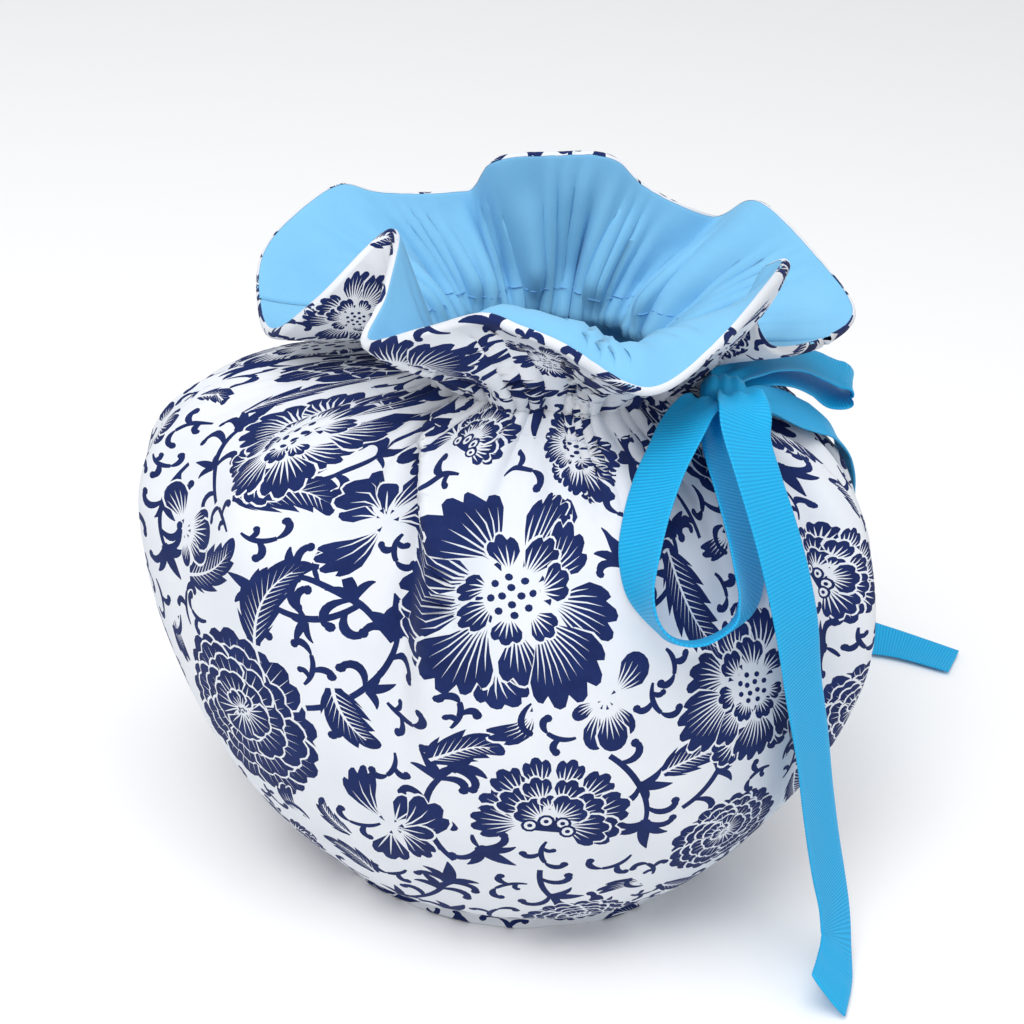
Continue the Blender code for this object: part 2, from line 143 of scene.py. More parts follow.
# Smaller creases: place, swing of their tops, depth, width and where they start
CREASE_STRENGTH = 1.45
Crease = namedtuple("Crease", "share swing depth width start")
CREASES = table(Crease, [
    (0.060, 0.004, -1.6, 0.007, 6.0),
    (0.105, -0.004, -1.5, 0.006, 6.8),
    (0.142, 0.003, -1.4, 0.006, 7.2),
    (0.171, 0.002, -1.6, 0.006, 6.6),
    (0.176, -0.040, -2.0, 0.006, 6.2),
    (0.203, -0.062, -4.8, 0.006, 4.0),
    (0.217, -0.062, 3.2, 0.006, 4.4),
    (0.232, 0.003, -1.5, 0.006, 6.4),
    (0.247, -0.003, 1.1, 0.006, 7.0),
    (0.279, 0.003, -1.5, 0.006, 7.0),
    (0.318, -0.003, -1.4, 0.006, 6.4),
    (0.352, -0.004, -1.8, 0.007, 5.4),
    (0.392, -0.005, -1.8, 0.007, 4.8),
    (0.423, -0.006, -2.2, 0.006, 3.6),
    (0.452, -0.006, 1.6, 0.006, 3.4),
    (0.478, -0.005, -2.0, 0.005, 3.2),
    (0.525, 0.004, -1.6, 0.006, 3.4),
    (0.567, 0.004, -1.7, 0.007, 4.6),
    (0.612, -0.003, -1.5, 0.006, 5.8),
    (0.658, 0.003, -1.6, 0.006, 6.2),
    (0.703, -0.003, -1.5, 0.006, 5.8),
    (0.748, 0.003, -1.6, 0.006, 6.2),
    (0.793, -0.003, -1.5, 0.006, 6.4),
    (0.838, 0.003, -1.6, 0.006, 6.0),
    (0.884, -0.003, -1.5, 0.006, 5.8),
    (0.930, 0.003, -1.6, 0.006, 5.6),
    (0.972, -0.003, -1.4, 0.006, 6.2),
])

Slit = namedtuple("Slit", "share low high front_edge back_edge lift sink reach")
SPOUT_SLIT = Slit(0.0, 6.0, 11.2, 14.0, 14.0, 9.0, 9.0, 0.050)
HANDLE_SLIT = Slit(0.5, 4.4, 9.2, 9.0, 9.0, 2.0, 2.0, 0.040)

RimPoint = namedtuple("RimPoint", "x y z flare curl slack")
RIM = table(RimPoint, [
    (-75, 4, 148, 0.5, 0.0, 0),
    (-69, -14, 147, 0.6, 0.0, 0),
    (-57, -22, 160, 0.6, 0.0, 0),
    (-41, -20, 178, 0.6, 0.0, 0),
    (-41, -30, 166, 0.7, 0.3, 0),
    (-44, -39, 157, 0.7, 0.3, 0),
    (-30, -43, 163, 0.5, 0.0, 3),
    (-17, -41, 167, 0.1, -0.5, 6),
    (-8, -45, 166.5, 0.0, -0.6, 6),
    (2, -48, 164.5, -0.1, -0.7, 6),
    (22, -55, 158.5, 0.0, -0.7, 6),
    (38, -41, 165, 0.1, -0.4, 5),
    (54, -16, 176, 0.7, 0.4, 2),
    (51, -9, 173, 0.8, 0.4, 0),
    (48.5, -8, 164, 0.7, 0.2, 0),
    (50, -9, 156.5, 0.6, 0.0, 0),
    (56, -8, 151.5, 0.6, 0.0, 0),
    (68, 0, 152, 0.5, 0.0, 0),
    (75, 8, 157, 0.4, 0.0, 0),
    (67, 22, 164, 0.3, 0.0, 0),
    (51, 35, 174, 0.2, 0.0, 0),
    (42, 45, 166, 0.3, 0.0, 0),
    (31, 42, 169, 0.2, 0.0, 0),
    (19, 40, 175, 0.1, 0.0, 0),
    (10, 36, 183, 0.0, 0.0, 0),
    (-4, 34, 183, 0.0, 0.0, 0),
    (-18, 32, 181, 0.0, 0.0, 0),
    (-24, 42, 169, 0.2, 0.0, 0),
    (-34, 38, 168, 0.2, 0.0, 0),
    (-48, 35, 168, 0.3, 0.0, 0),
    (-59, 35, 169, 0.3, 0.0, 0),
    (-70, 27, 162, 0.4, 0.0, 0),
    (-76, 17, 155, 0.5, 0.0, 0),
])
HANDLE_SEAM_POINT = 17

# The slack column of RIM: the lining bows in most near the rim, and the print out by less
SLACK_BIAS = 1.6
PRINT_SLACK = 0.5

# How far the cut edges turn in, as angles: the print's, the lining's, the print's rim
PRINT_TURN = 1.95
LINING_TURN = 1.1
RIM_TURN = 2.6

# Soft folds of the ruffle, from the neck to near the rim: centre, depth and width
RUFFLE_STRENGTH = 1.5
RuffleFold = namedtuple("RuffleFold", "share depth width")
RUFFLE_FOLDS = table(RuffleFold, [
    (0.100, -2.4, 0.014),
    (0.150, 2.2, 0.014),
    (0.195, -3.0, 0.011),
    (0.240, 2.4, 0.014),
    (0.282, -3.0, 0.011),
    (0.330, 2.2, 0.014),
    (0.378, -2.4, 0.012),
    (0.590, 3.0, 0.013),
    (0.632, -3.5, 0.010),
    (0.668, 2.7, 0.012),
    (0.704, -4.3, 0.009),
    (0.738, 3.0, 0.013),
    (0.776, -4.1, 0.009),
    (0.812, 3.2, 0.012),
    (0.850, -3.5, 0.010),
    (0.892, 2.7, 0.013),
    (0.932, -2.7, 0.011),
])

# Fine pleats of the drawn-in neck: how many go round, how deep, and how far they reach
PLEATS = 64
PLEAT_DEPTH = 2.5
PLEAT_BELOW = 4.3
PLEAT_ABOVE = 0.30
RIPPLE_DEPTH = 0.60

# The ribbon
RIBBON_WIDTH = 15.0
RIBBON_HALF_THICK = 0.32
RIB_PITCH = 0.95
RIB_HEIGHT = 0.15
PINCH = 0.68
PINCH_REACH = 22.0
RibbonPoint = namedtuple("RibbonPoint", "x y z across_x across_y across_z")
RIBBON_RUNS = {
    "tail_front": table(RibbonPoint, [
        (46.5, -23.8, 145.8, 1.0, 0.0, 0.0),
        (46.5, -30, 148.5, 0.85, 0.5, 0.0),
        (47, -38, 148.5, 0.8, 0.55, -0.1),
        (47.5, -45, 145, 0.8, 0.6, -0.2),
        (51, -53, 138, 0.76, 0.6, -0.2),
        (55.7, -59, 128, 0.76, 0.6, -0.2),
        (60, -63, 117, 0.72, 0.65, -0.1),
        (64, -65, 104, 0.66, 0.7, 0.0),
        (67.7, -64, 88, 0.6, 0.8, 0.0),
        (72.4, -61, 70, 0.55, 0.82, 0.0),
        (76.5, -58, 52, 0.54, 0.84, 0.0),
        (81, -55, 34, 0.54, 0.84, 0.0),
        (85, -54, 20, 0.56, 0.75, -0.3),
        (87, -57, 10.5, 0.6, 0.4, -0.65),
        (87, -64, 7, 0.64, 0.0, -0.76),
        (85.7, -71, 6.9, 0.66, 0.0, -0.75),
        (84, -78, 6.6, 0.68, 0.0, -0.73),
    ]),
    "loop_front": table(RibbonPoint, [
        (39.5, -23.8, 144, 1.0, 0.0, 0.0),
        (37.5, -30.5, 146, 0.85, -0.3, 0.1),
        (34, -38, 145, 0.8, -0.5, 0.3),
        (31, -46, 141.5, 0.75, -0.55, 0.35),
        (27.8, -54, 136.5, 0.72, -0.6, 0.35),
        (25.5, -63, 130.5, 0.68, -0.65, 0.38),
        (24.6, -70, 124.5, 0.6, -0.7, 0.39),
        (25.4, -76, 117.5, 0.4, -0.8, 0.45),
        (28.7, -79.3, 111.6, 0.15, -0.87, 0.48),
        (33.2, -79.8, 107.8, 0.0, -0.87, 0.48),
        (38.2, -78, 106, 0.0, -0.87, 0.48),
        (43.2, -74.5, 106, -0.05, -0.87, 0.48),
        (47.4, -70.5, 107.4, -0.15, -0.85, 0.46),
        (50.2, -66.5, 110.8, -0.35, -0.8, 0.42),
        (51, -62, 114.8, -0.5, -0.75, 0.4),
        (50.2, -56.5, 120, -0.6, -0.7, 0.38),
        (48.2, -50.5, 126, -0.68, -0.65, 0.36),
        (45.8, -44, 131.5, -0.72, -0.6, 0.35),
        (43.6, -37.5, 136.2, -0.8, -0.5, 0.3),
        (42.5, -31, 139.2, -0.9, -0.3, 0.2),
        (42.3, -23.8, 140.5, -1.0, 0.0, 0.0),
    ]),
    "tail_back": table(RibbonPoint, [
        (51, -19.4, 142.3, 0.0, 1.0, 0.0),
        (54.5, -15, 140.5, -0.1, 1.0, 0.1),
        (60.5, -7, 136, -0.2, 0.95, 0.15),
        (66, 0, 131.8, -0.2, 0.95, 0.1),
        (72, 7, 126.5, -0.2, 0.95, 0.0),
        (78, 15, 118, -0.2, 0.95, 0.0),
        (82, 26, 106, -0.25, 0.9, 0.15),
        (83.5, 39.5, 92, -0.25, 0.85, 0.3),
        (78.5, 53, 75, -0.1, 0.8, 0.45),
        (73, 65, 56, 0.1, 0.8, 0.5),
        (75, 81, 36, 0.25, 0.78, 0.53),
        (81, 98, 18, 0.36, 0.76, 0.54),
        (91, 110.5, 7.4, 0.4, 0.8, 0.48),
        (105, 115.03, 3.8, 0.42, 0.85, 0.33),
        (121, 114.0, 2.0, 0.42, 0.88, 0.1),
        (139.106, 107.5, 0.95, 0.42, 0.9, 0.0),
    ]),
    "loop_back": table(RibbonPoint, [
        (43.5, -12.3, 144.6, -1.0, 0.0, 0.0),
        (47, -6, 144.5, -0.9, 0.4, 0.1),
        (53, 4, 144, -0.7, 0.7, 0.1),
        (61, 15, 140.5, -0.5, 0.85, 0.1),
        (69, 23, 136, -0.2, 0.95, 0.1),
        (75, 27, 132.8, 0.05, 0.95, 0.05),
        (79.5, 28.5, 130.7, 0.1, 0.95, 0.0),
        (81, 29, 128.2, 0.1, 0.95, 0.0),
        (79, 28.5, 125.8, 0.1, 0.95, 0.0),
        (73, 26.5, 127.5, 0.0, 0.95, 0.1),
        (66, 22, 132, -0.3, 0.95, 0.1),
        (59, 14.5, 136.5, -0.5, 0.85, 0.1),
        (51.5, 4.5, 140.2, -0.7, 0.7, 0.1),
        (45, -5, 141.3, -0.9, 0.4, 0.1),
        (43, -12.3, 141, -1.0, 0.0, 0.0),
    ]),
}


def placed(points):
    """Millimetres about the hem's middle as metres in the model's frame."""
    return (np.asarray(points, float) - BOX_MIDDLE) * MM


def catmull_rom(rows, at, closed=False):
    """Rows of numbers as a smooth curve through them, read at these row numbers."""
    rows = np.asarray(rows, float)
    at = np.atleast_1d(np.asarray(at, float))
    count = len(rows)
    first = np.floor(at).astype(int)
    if not closed:
        first = np.clip(first, 0, count - 2)
    part = (at - first)[:, None]
    near = first[:, None] + np.array([-1, 0, 1, 2])
    near = near % count if closed else np.clip(near, 0, count - 1)
    before, start, end, after = (rows[near[:, k]] for k in range(4))
    return 0.5 * (
        2 * start
        + (end - before) * part
        + (2 * before - 5 * start + 4 * end - after) * part**2
        + (3 * start - before - 3 * end + after) * part**3
    )


def smooth_step(low, high, at):
    part = np.clip((at - low) / (high - low), 0, 1)
    return part * part * (3 - 2 * part)


def round_distance(share, centre):
    return (share - centre + 0.5) % 1 - 0.5


def unit(vectors):
    return vectors / np.maximum(np.linalg.norm(vectors, axis=-1, keepdims=True), 1e-9)


# The cloth's surface: share is the place round it, level the section number


def bearing(share):
    angle = 2 * np.pi * share - np.pi / 2
    return np.sin(angle), -np.cos(angle)


def fold_depth(share, level):
    depth = np.zeros_like(share)
    for fold in FOLDS:
        across = round_distance(share, fold.share) / fold.width
        depth += fold.depth * np.exp(-across * across) * smooth_step(fold.low, fold.high, level)
    return depth * (1 - 0.75 * smooth_step(9, TOP, level))


def crease_depth(share, level):
    """The narrow creases that fan out below the neck."""
    depth = np.zeros_like(share)
    for crease in CREASES:
        centre = crease.share + crease.swing * smooth_step(7.5, 11.5, level)
        width = crease.width * (1 + 0.25 * np.clip(9 - level, 0, 5))
        across = round_distance(share, centre) / width
        reach = smooth_step(crease.start, crease.start + 2.6, level)
        depth += crease.depth * reach * np.exp(-across * across)
    return CREASE_STRENGTH * depth * (1 - 0.8 * smooth_step(10, 12, level))


def pleat_depth(share, level):
    """Rounded ridges and sharp valleys round the neck."""
    phase = PLEATS * share + 0.55 * np.sin(TAU * 7 * share) + 0.4 * np.sin(TAU * 17 * share + 1)
    ridge = np.sqrt(np.cos(np.pi * phase) ** 2 + 0.015) * 2 - 1.2
    ridge *= 1 + 0.35 * np.sin(TAU * 11 * share + 0.7) + 0.2 * np.sin(TAU * 29 * share)
    below = np.clip((TOP - level) / PLEAT_BELOW, 0, 1)
    above = np.clip((level - TOP) / PLEAT_ABOVE, 0, 1)
    from_seam = np.abs((share + 0.25) % 0.5 - 0.25)
    keep = smooth_step(0, 0.02, from_seam)
    return PLEAT_DEPTH * ridge * keep * (1 - below) ** 1.4 * (1 - above) ** 1.6


def ripple_depth(share, level):
    """The slack of soft cotton between the folds, in waves that are weaker low down and near the neck.
    """
    wave = np.sin(TAU * (9 * share + 0.35 * np.sin(level * 0.9)) + 0.8 * level)
    wave += 0.7 * np.sin(TAU * (15 * share - 0.06 * level) + 1.3 * level + 2)
    wave += 0.5 * np.sin(TAU * 23 * share + 1.9 * level + 0.4)
    strength = 0.35 + 0.35 * smooth_step(5, 8, level)
    strength *= 1 - 0.6 * smooth_step(9, 11, level)
    return RIPPLE_DEPTH * strength * wave


def slit_shift(slit, share, level):
    along = np.clip((level - slit.low) / (slit.high - slit.low), 0, 1)
    opening = np.sin(np.pi * along) ** 1.3
    away = round_distance(share, slit.share)
    to_front = (away > 0) == (slit.share == 0)
    near = np.exp(-np.abs(away) / slit.reach) * opening
    part_y = np.where(to_front, -slit.front_edge, slit.back_edge) * near
    lift_z = np.where(to_front, slit.lift, -slit.sink) * near
    return np.stack([np.zeros_like(share), part_y, lift_z], axis=1)


def body_points(share, level):
    height, spout_side, handle_side, front, back = catmull_rom(SECTIONS, level).T
    out_x, out_y = bearing(share)
    half_x = np.where(out_x > 0, handle_side, spout_side)
    half_y = np.where(out_y < 0, front, back)
    push = fold_depth(share, level) + pleat_depth(share, level)
    push += crease_depth(share, level) + ripple_depth(share, level)
    x = (half_x + push) * out_x
    y = (half_y + push) * out_y
    points = np.stack([x, y, height], axis=1)
    for slit in (SPOUT_SLIT, HANDLE_SLIT):
        points += slit_shift(slit, share, level)
    return points


def rim_table():
    fine = 24
    at = np.arange(len(RIM) * fine + 1) / fine
    curve = catmull_rom(RIM, at, closed=True)
    steps = np.linalg.norm(np.diff(curve[:, :3], axis=0), axis=1)
    length = np.concatenate([[0], np.cumsum(steps)])
    seam = length[HANDLE_SEAM_POINT * fine]
    return np.interp(length, [0, seam, length[-1]], [0, 0.5, 1]), curve


RIM_SHARES, RIM_CURVE = rim_table()


def ruffle_fold_depth(share, out):
    depth = np.zeros_like(share)
    for fold in RUFFLE_FOLDS:
        across = round_distance(share, fold.share) / (fold.width * (1 + out))
        depth += fold.depth * np.exp(-across * across)
    return RUFFLE_STRENGTH * depth * smooth_step(0, 0.3, out) * (1 - smooth_step(0.6, 1, out))


def lining_slack(share, level):
    """How far the lining stands off the print where the front of the ruffle is full."""
    slack = np.maximum(np.interp(share % 1, RIM_SHARES, RIM_CURVE[:, 5]), 0)
    out = np.clip(level - TOP, 0, 1)
    return slack * np.sin(np.pi * out**SLACK_BIAS)


def ruffle_points(share, out):
    """Points of the ruffle. out runs from 0 at the neck to 1 at the rim."""
    rim = [np.interp(share % 1, RIM_SHARES, RIM_CURVE[:, k]) for k in range(5)]
    rim = np.stack(rim, axis=1)
    rim, flare, curl = rim[:, :3], rim[:, 3:4], rim[:, 4:]
    neck = body_points(share, np.full_like(share, TOP))
    out_x, out_y = bearing(share)
    outward = np.stack([out_x, out_y, np.zeros_like(share)], axis=1)
    upward = np.array([0.0, 0.0, 1.0])
    chord = rim - neck
    length = np.linalg.norm(chord, axis=1, keepdims=True)
    leave = unit(upward + (0.2 + flare) * outward) * np.minimum(RUFFLE_WIDTH, 1.2 * length)
    arrive = unit(chord / length + curl * (upward - 0.4 * outward)) * length
    s = out[:, None]
    neck = neck + ruffle_fold_depth(share, out)[:, None] * outward
    return (
        (2 * s**3 - 3 * s**2 + 1) * neck
        + (s**3 - 2 * s**2 + s) * leave
        + (3 * s**2 - 2 * s**3) * rim
        + (s**3 - s**2) * arrive
    )


def cloth_points(share, level):
    body = body_points(share, np.minimum(level, TOP))
    ruffle = ruffle_points(share, np.clip(level - TOP, 0, 1))
    return np.where((level > TOP)[:, None], ruffle, body)


def cloth_frames(share, level, first_share):
    """Point, outward normal, way along the seam and round the cloth, and its spread."""
    low, high = first_share + 1e-7, first_share + 0.5 - 1e-7
    share = np.clip(share, low, high)
    point = cloth_points(share, level)
    left = np.maximum(share - SHARE_STEP, low)
    right = np.minimum(share + SHARE_STEP, high)
    down = np.maximum(level - LEVEL_STEP, 0)
    up = np.minimum(level + LEVEL_STEP, TOP + 1)
    # A difference never reaches across the neck, where body and ruffle meet
    around = cloth_points(right, level) - cloth_points(left, level)
    around /= (right - left)[:, None]
    along = cloth_points(share, up) - cloth_points(share, down)
    normal = unit(np.cross(around, along))
    return point, normal, unit(along), around


def flat_to_cloth(flat, first_share):
    """Flat millimetres on a panel as share and level, with the way past its edges."""
    u, v = flat[:, 0], flat[:, 1]
    rows = np.asarray(FLAT_ROWS, float)
    v_in = np.clip(v, TURN, RIM_V)
    level = np.interp(v_in, rows[:, 0], np.arange(len(rows)))
    level = np.where(v_in > NECK_V, TOP + (v_in - NECK_V) / RUFFLE_WIDTH, level)
    width = np.interp(v_in, rows[:, 0], rows[:, 1])
    share = first_share + 0.25 + u / (2 * width)
    return share, level, width


def panel_points(flat, first_share, outside=True, turn_end=PRINT_TURN):
    """The panel's outer or inner face, with its edges turned in on every side."""
    u, v = flat[:, 0], flat[:, 1]
    share, level, width = flat_to_cloth(flat, first_share)
    _, _, _, around = cloth_frames(share, level, first_share)
    spread = np.linalg.norm(around, axis=1)
    # How far in from the seam the turn starts, in share and in flat millimetres
    margin = np.minimum(TURN / spread, 0.02)
    side = np.sign(u)
    start = 0.25 - margin
    from_middle = np.abs(share - first_share - 0.25)
    end = 0.25 + SIDE_TURN / (2 * width)
    past_side = np.clip((from_middle - start) / (end - start), 0, 1) * turn_end
    past_rim = np.clip((v - RIM_V) / TURN, 0, RIM_TURN if outside else turn_end)
    past_hem = np.clip((TURN - v) / TURN, 0, turn_end)
    held = first_share + 0.25 + side * np.minimum(from_middle, start)
    point, normal, along, around = cloth_frames(held, level, first_share)
    away_up = (past_rim - past_hem)[:, None] * along
    away = away_up + (side * past_side)[:, None] * unit(around)
    angle = np.minimum(np.linalg.norm(away, axis=1), np.maximum(turn_end, past_rim))[:, None]
    away = unit(away)
    slack = lining_slack(held, level)[:, None]
    point = point + np.where(outside, PRINT_SLACK, -1) * slack * normal
    if not outside:
        radius = TURN - LINING_THINNER
        place = point + MIDDLE * normal - radius * normal * np.cos(angle)
        place = place + radius * away * np.sin(angle)
        return place, unit(-normal * np.cos(angle) + away * np.sin(angle))
    place = point + MIDDLE * normal + TURN * normal * np.cos(angle)
    place = place + TURN * away * np.sin(angle)
    return place, unit(normal * np.cos(angle) + away * np.sin(angle))


def panel_outline():
    """The cut edge of a panel on the flat cloth."""
    rows = np.asarray(FLAT_ROWS, float)
    low = TURN - TURN * PRINT_TURN
    high = RIM_V + TURN * RIM_TURN
    v = np.concatenate([[low], np.arange(2, RIM_V, 2.0), [high]])
    half = np.interp(v, rows[:, 0], rows[:, 1]) / 2 + SIDE_TURN
    right = np.stack([half, v], axis=1)
    left = np.stack([-half[::-1], v[::-1]], axis=1)
    top = np.linspace(half[-1], -half[-1], 200)[1:-1]
    bottom = np.linspace(-half[0], half[0], 120)[1:-1]
    top = np.stack([top, np.full_like(top, high)], axis=1)
    bottom = np.stack([bottom, np.full_like(bottom, low)], axis=1)
    return np.vstack([right, top, left, bottom])


# The print: flat shapes in painter's order, each dark or pale

PETAL_GAP = 0.55
PETAL_FOOT = 0.06
VINE_WIDTH = 1.6


class Print:
    def __init__(self):
        self.shapes = []

    def add(self, points, ink):
        self.shapes.append((np.asarray(points, float), ink))


def turned(points, angle, at=(0, 0)):
    c, s = np.cos(angle), np.sin(angle)
    return np.asarray(points) @ np.array([[c, s], [-s, c]]) + at


def wobble(k, amount):
    return amount * np.sin(12.9898 * (k + 1.3) + 4.1)


def disc(pr, at, radius, ink, sides=10):
    a = np.arange(sides) * TAU / sides
    pr.add(np.stack([np.cos(a), np.sin(a)], 1) * radius + at, ink)


def stroke(pr, at, heading, length, bend, width, coil=0.0, root=0.5, end=0.5, steps=12):
    """A line that swells between its root and its end. bend is the whole turn."""
    s = np.linspace(0, 1, steps + 1)
    turn = heading + bend * (s * (1 - coil) + coil * s**3)
    mid_turn = (turn[:-1] + turn[1:]) / 2
    walk = np.stack([np.cos(mid_turn), np.sin(mid_turn)], 1) * length / steps
    middle = np.vstack([[0, 0], np.cumsum(walk, axis=0)]) + at
    swell = np.sin(np.pi * s)
    half = width / 2 * (root * (1 - s) + end * s + (1 - (root + end) / 2) * swell)
    side = np.stack([-np.sin(turn), np.cos(turn)], 1) * half[:, None]
    pr.add(np.vstack([middle + side, (middle - side)[::-1]]), True)
    return middle, turn


def comma(pr, at, heading, length, bend, width=1.9):
    """A scroll that thickens along its turn and ends in a round drop."""
    middle, turn = stroke(pr, at, heading, length, bend, width, coil=0.45, root=0.3, end=0.85, steps=9)
    disc(pr, middle[-1], width * 0.60, True, 8)
    return middle, turn


def petal_edge(length, spread, lobes, notch=0.12, round_off=0.24, bow=0.0):
    """A shell's outline: a narrow foot, full sides and a scalloped rim."""
    way = np.linspace(-1, 1, max(lobes * 4, 8) + 1)
    a = spread * way
    r = length * (1 - round_off * np.abs(way) ** 2.4)
    r *= 1 - notch + notch * np.abs(np.sin(lobes * np.pi * (way + 1) / 2)) ** 0.55
    sides = ((0.72, 0.90), (0.42, 0.62), (0.16, 0.30))
    radius = np.concatenate([[r[0] * k for k, _ in sides[::-1]], r, [r[-1] * k for k, _ in sides]])
    angle = np.concatenate([[-spread * k for _, k in sides[::-1]], a, [spread * k for _, k in sides]])
    angle = angle + bow * radius / length
    points = np.stack([radius * np.cos(angle), radius * np.sin(angle)], 1)
    return np.vstack([[[PETAL_FOOT * length, 0.0]], points])


def petal(pr, at, angle, length, spread, lobes=3, veins=5, bow=0.0, vein=0.46, reach=0.82, **rim):
    """A dark shell with a pale edge and pale veins that taper towards its rim."""
    grown = spread + PETAL_GAP / length * 1.3
    pr.add(turned(petal_edge(length + PETAL_GAP, grown, lobes, bow=bow, **rim), angle, at), False)
    pr.add(turned(petal_edge(length, spread, lobes, bow=bow, **rim), angle, at), True)
    for k in range(veins):
        way = (k + 0.5) / veins * 2 - 1
        far = length * (reach - 0.20 * way * way + wobble(k + 7 * length, 0.05))
        radii = np.array([0.16 * length, 0.45 * far, 0.75 * far, far])
        lines = spread * way * np.array([0.45, 0.72, 0.86, 0.90]) + bow * radii / length
        half = vein / 2 * np.array([1.0, 1.0, 0.7, 0.0])
        across = half / np.maximum(radii, 0.5)
        ring_angle = np.concatenate([lines - across, (lines + across)[:3][::-1]])
        ring_radius = np.concatenate([radii, radii[:3][::-1]])
        points = np.stack([ring_radius * np.cos(ring_angle), ring_radius * np.sin(ring_angle)], 1)
        pr.add(turned(points, angle, at), False)


def petals(pr, at, rows, size, turn, flip=1):
    """Petals from a table, from the back to the front, about a flower's heart."""
    for row in rows:
        way = turn + flip * math.radians(row.angle)
        foot = np.asarray(at) + size * row.foot * np.array([np.cos(way), np.sin(way)])
        lean = way + flip * math.radians(row.lean)
        bow = flip * math.radians(row.bow)
        petal(pr, foot, lean, size * row.length, math.radians(row.spread), row.lobes, row.veins, bow)


Petal = namedtuple("Petal", "angle foot length spread lobes veins lean bow")
PEONY = table(Petal, [
    (47, 0.66, 0.42, 56, 4, 5, 20, 50),
    (-98, 0.62, 0.40, 50, 4, 6, 0, 20),
    (-150, 0.60, 0.44, 48, 4, 5, 10, -30),
    (152, 0.20, 0.78, 27, 4, 6, 10, -12),
    (112, 0.16, 0.96, 28, 5, 8, 4, 12),
    (74, 0.22, 0.78, 24, 5, 6, -2, -12),
    (188, 0.16, 0.84, 27, 4, 7, -6, 10),
    (-128, 0.16, 0.80, 32, 5, 8, -6, 14),
    (-84, 0.20, 0.60, 26, 3, 6, 4, 0),
    (30, 0.20, 0.66, 30, 4, 7, 0, 16),
    (-8, 0.22, 0.78, 30, 4, 8, 0, -10),
    (-46, 0.16, 0.96, 33, 5, 10, 4, -14),
    (98, 0.16, 0.40, 30, 3, 4, 0, 10),
    (58, 0.14, 0.46, 30, 3, 5, 6, -10),
    (165, 0.16, 0.28, 34, 3, 4, 0, 0),
    (-150, 0.12, 0.34, 36, 3, 5, 0, 0),
    (12, 0.18, 0.36, 40, 3, 5, 0, 10),
    (-95, 0.12, 0.32, 34, 3, 5, 0, 0),
    (-42, 0.16, 0.34, 34, 3, 5, 0, 0),
])
CALYX_FLOWER = table(Petal, [
    (160, 0.34, 0.60, 34, 3, 5, -6, 0),
    (132, 0.44, 0.60, 30, 3, 5, -4, 0),
    (104, 0.48, 0.56, 28, 3, 5, 0, 0),
    (76, 0.48, 0.56, 28, 3, 5, 0, 0),
    (46, 0.46, 0.60, 30, 3, 5, 4, 0),
    (16, 0.40, 0.66, 34, 3, 5, 4, 0),
    (-12, 0.30, 0.62, 36, 3, 5, 0, 0),
    (184, 0.24, 0.72, 34, 4, 6, 0, 0),
    (144, 0.20, 0.56, 34, 3, 5, 0, 0),
    (108, 0.28, 0.48, 34, 3, 5, 0, 0),
    (68, 0.26, 0.50, 34, 3, 5, 0, 0),
    (30, 0.22, 0.54, 36, 3, 5, 0, 0),
    (-14, 0.12, 0.66, 38, 4, 6, 0, 0),
    (152, 0.06, 0.44, 46, 3, 6, -10, 0),
    (92, 0.20, 0.26, 44, 3, 4, 0, 0),
    (36, 0.06, 0.48, 48, 3, 7, 10, 0),
])
LILY = table(Petal, [
    (146, 0.05, 1.05, 22, 4, 3, 0, -28),
    (66, 0.06, 0.66, 24, 2, 2, 0, 0),
    (22, 0.05, 0.90, 32, 3, 4, 0, 24),
    (-30, 0.05, 0.72, 26, 3, 3, 0, -14),
    (-92, 0.05, 0.80, 30, 3, 3, 0, 0),
    (4, 0.05, 0.55, 22, 1, 1, 0, 0),
])
SPRIG = table(Petal, [
    (205, 0.05, 0.62, 20, 1, 4, 0, 10),
    (248, 0.05, 0.95, 19, 1, 4, 0, 14),
    (320, 0.05, 0.82, 18, 1, 4, 0, -14),
    (284, 0.05, 1.00, 24, 1, 5, 0, 0),
    (36, 0.05, 0.98, 26, 1, 5, 0, 14),
])


CUP = np.array([
    [-0.26, -0.02],
    [-0.1, 0.06],
    [0.1, 0.04],
    [0.30, -0.06],
    [0.24, -0.18],
    [0.0, -0.16],
    [-0.22, -0.14],
])


def peony(pr, at, radius, turn=0.0, flip=1):
    """Broad uneven petals round a pale heart of dots."""
    petals(pr, at, PEONY, radius, turn, flip)
    disc(pr, at, radius * 0.235, False, 20)
    for count, way in ((8, 0.168), (4, 0.075)):
        for k in range(count):
            a = turn + TAU * k / count + way
            disc(pr, at + radius * way * np.array([np.cos(a), np.sin(a)]), radius * 0.034, True, 8)


def full_flower(pr, at, radius, turn=0.0, flip=1):
    """Broad shell petals in four rings, drawn back to front, about a small bud."""
    rings = ((1.0, 9, 7), (0.80, 8, 6), (0.61, 7, 5), (0.42, 5, 5))
    lean = turned([[0.0, 0.10 * radius]], turn)[0]
    for level, (share, count, veins) in enumerate(rings):
        centre = at + lean * (1 - share) * 2
        for k in range(count):
            a = turn + TAU * (k + 0.5 * (level % 2)) / count + wobble(k + 5 * level + radius, 0.07)
            size = radius * share * (1 + wobble(3 * k + radius, 0.06))
            spread = math.pi / count * 1.30
            rim = {"notch": 0.07, "round_off": 0.14}
            petal(pr, centre, a, size, spread, 3, veins, vein=0.40, reach=0.93, **rim)
    for k in range(3):
        way = turn + 1.0 + 0.55 * k
        petal(pr, centre - lean * 0.3, way, radius * 0.25, 0.62, 2, 3, vein=0.4)


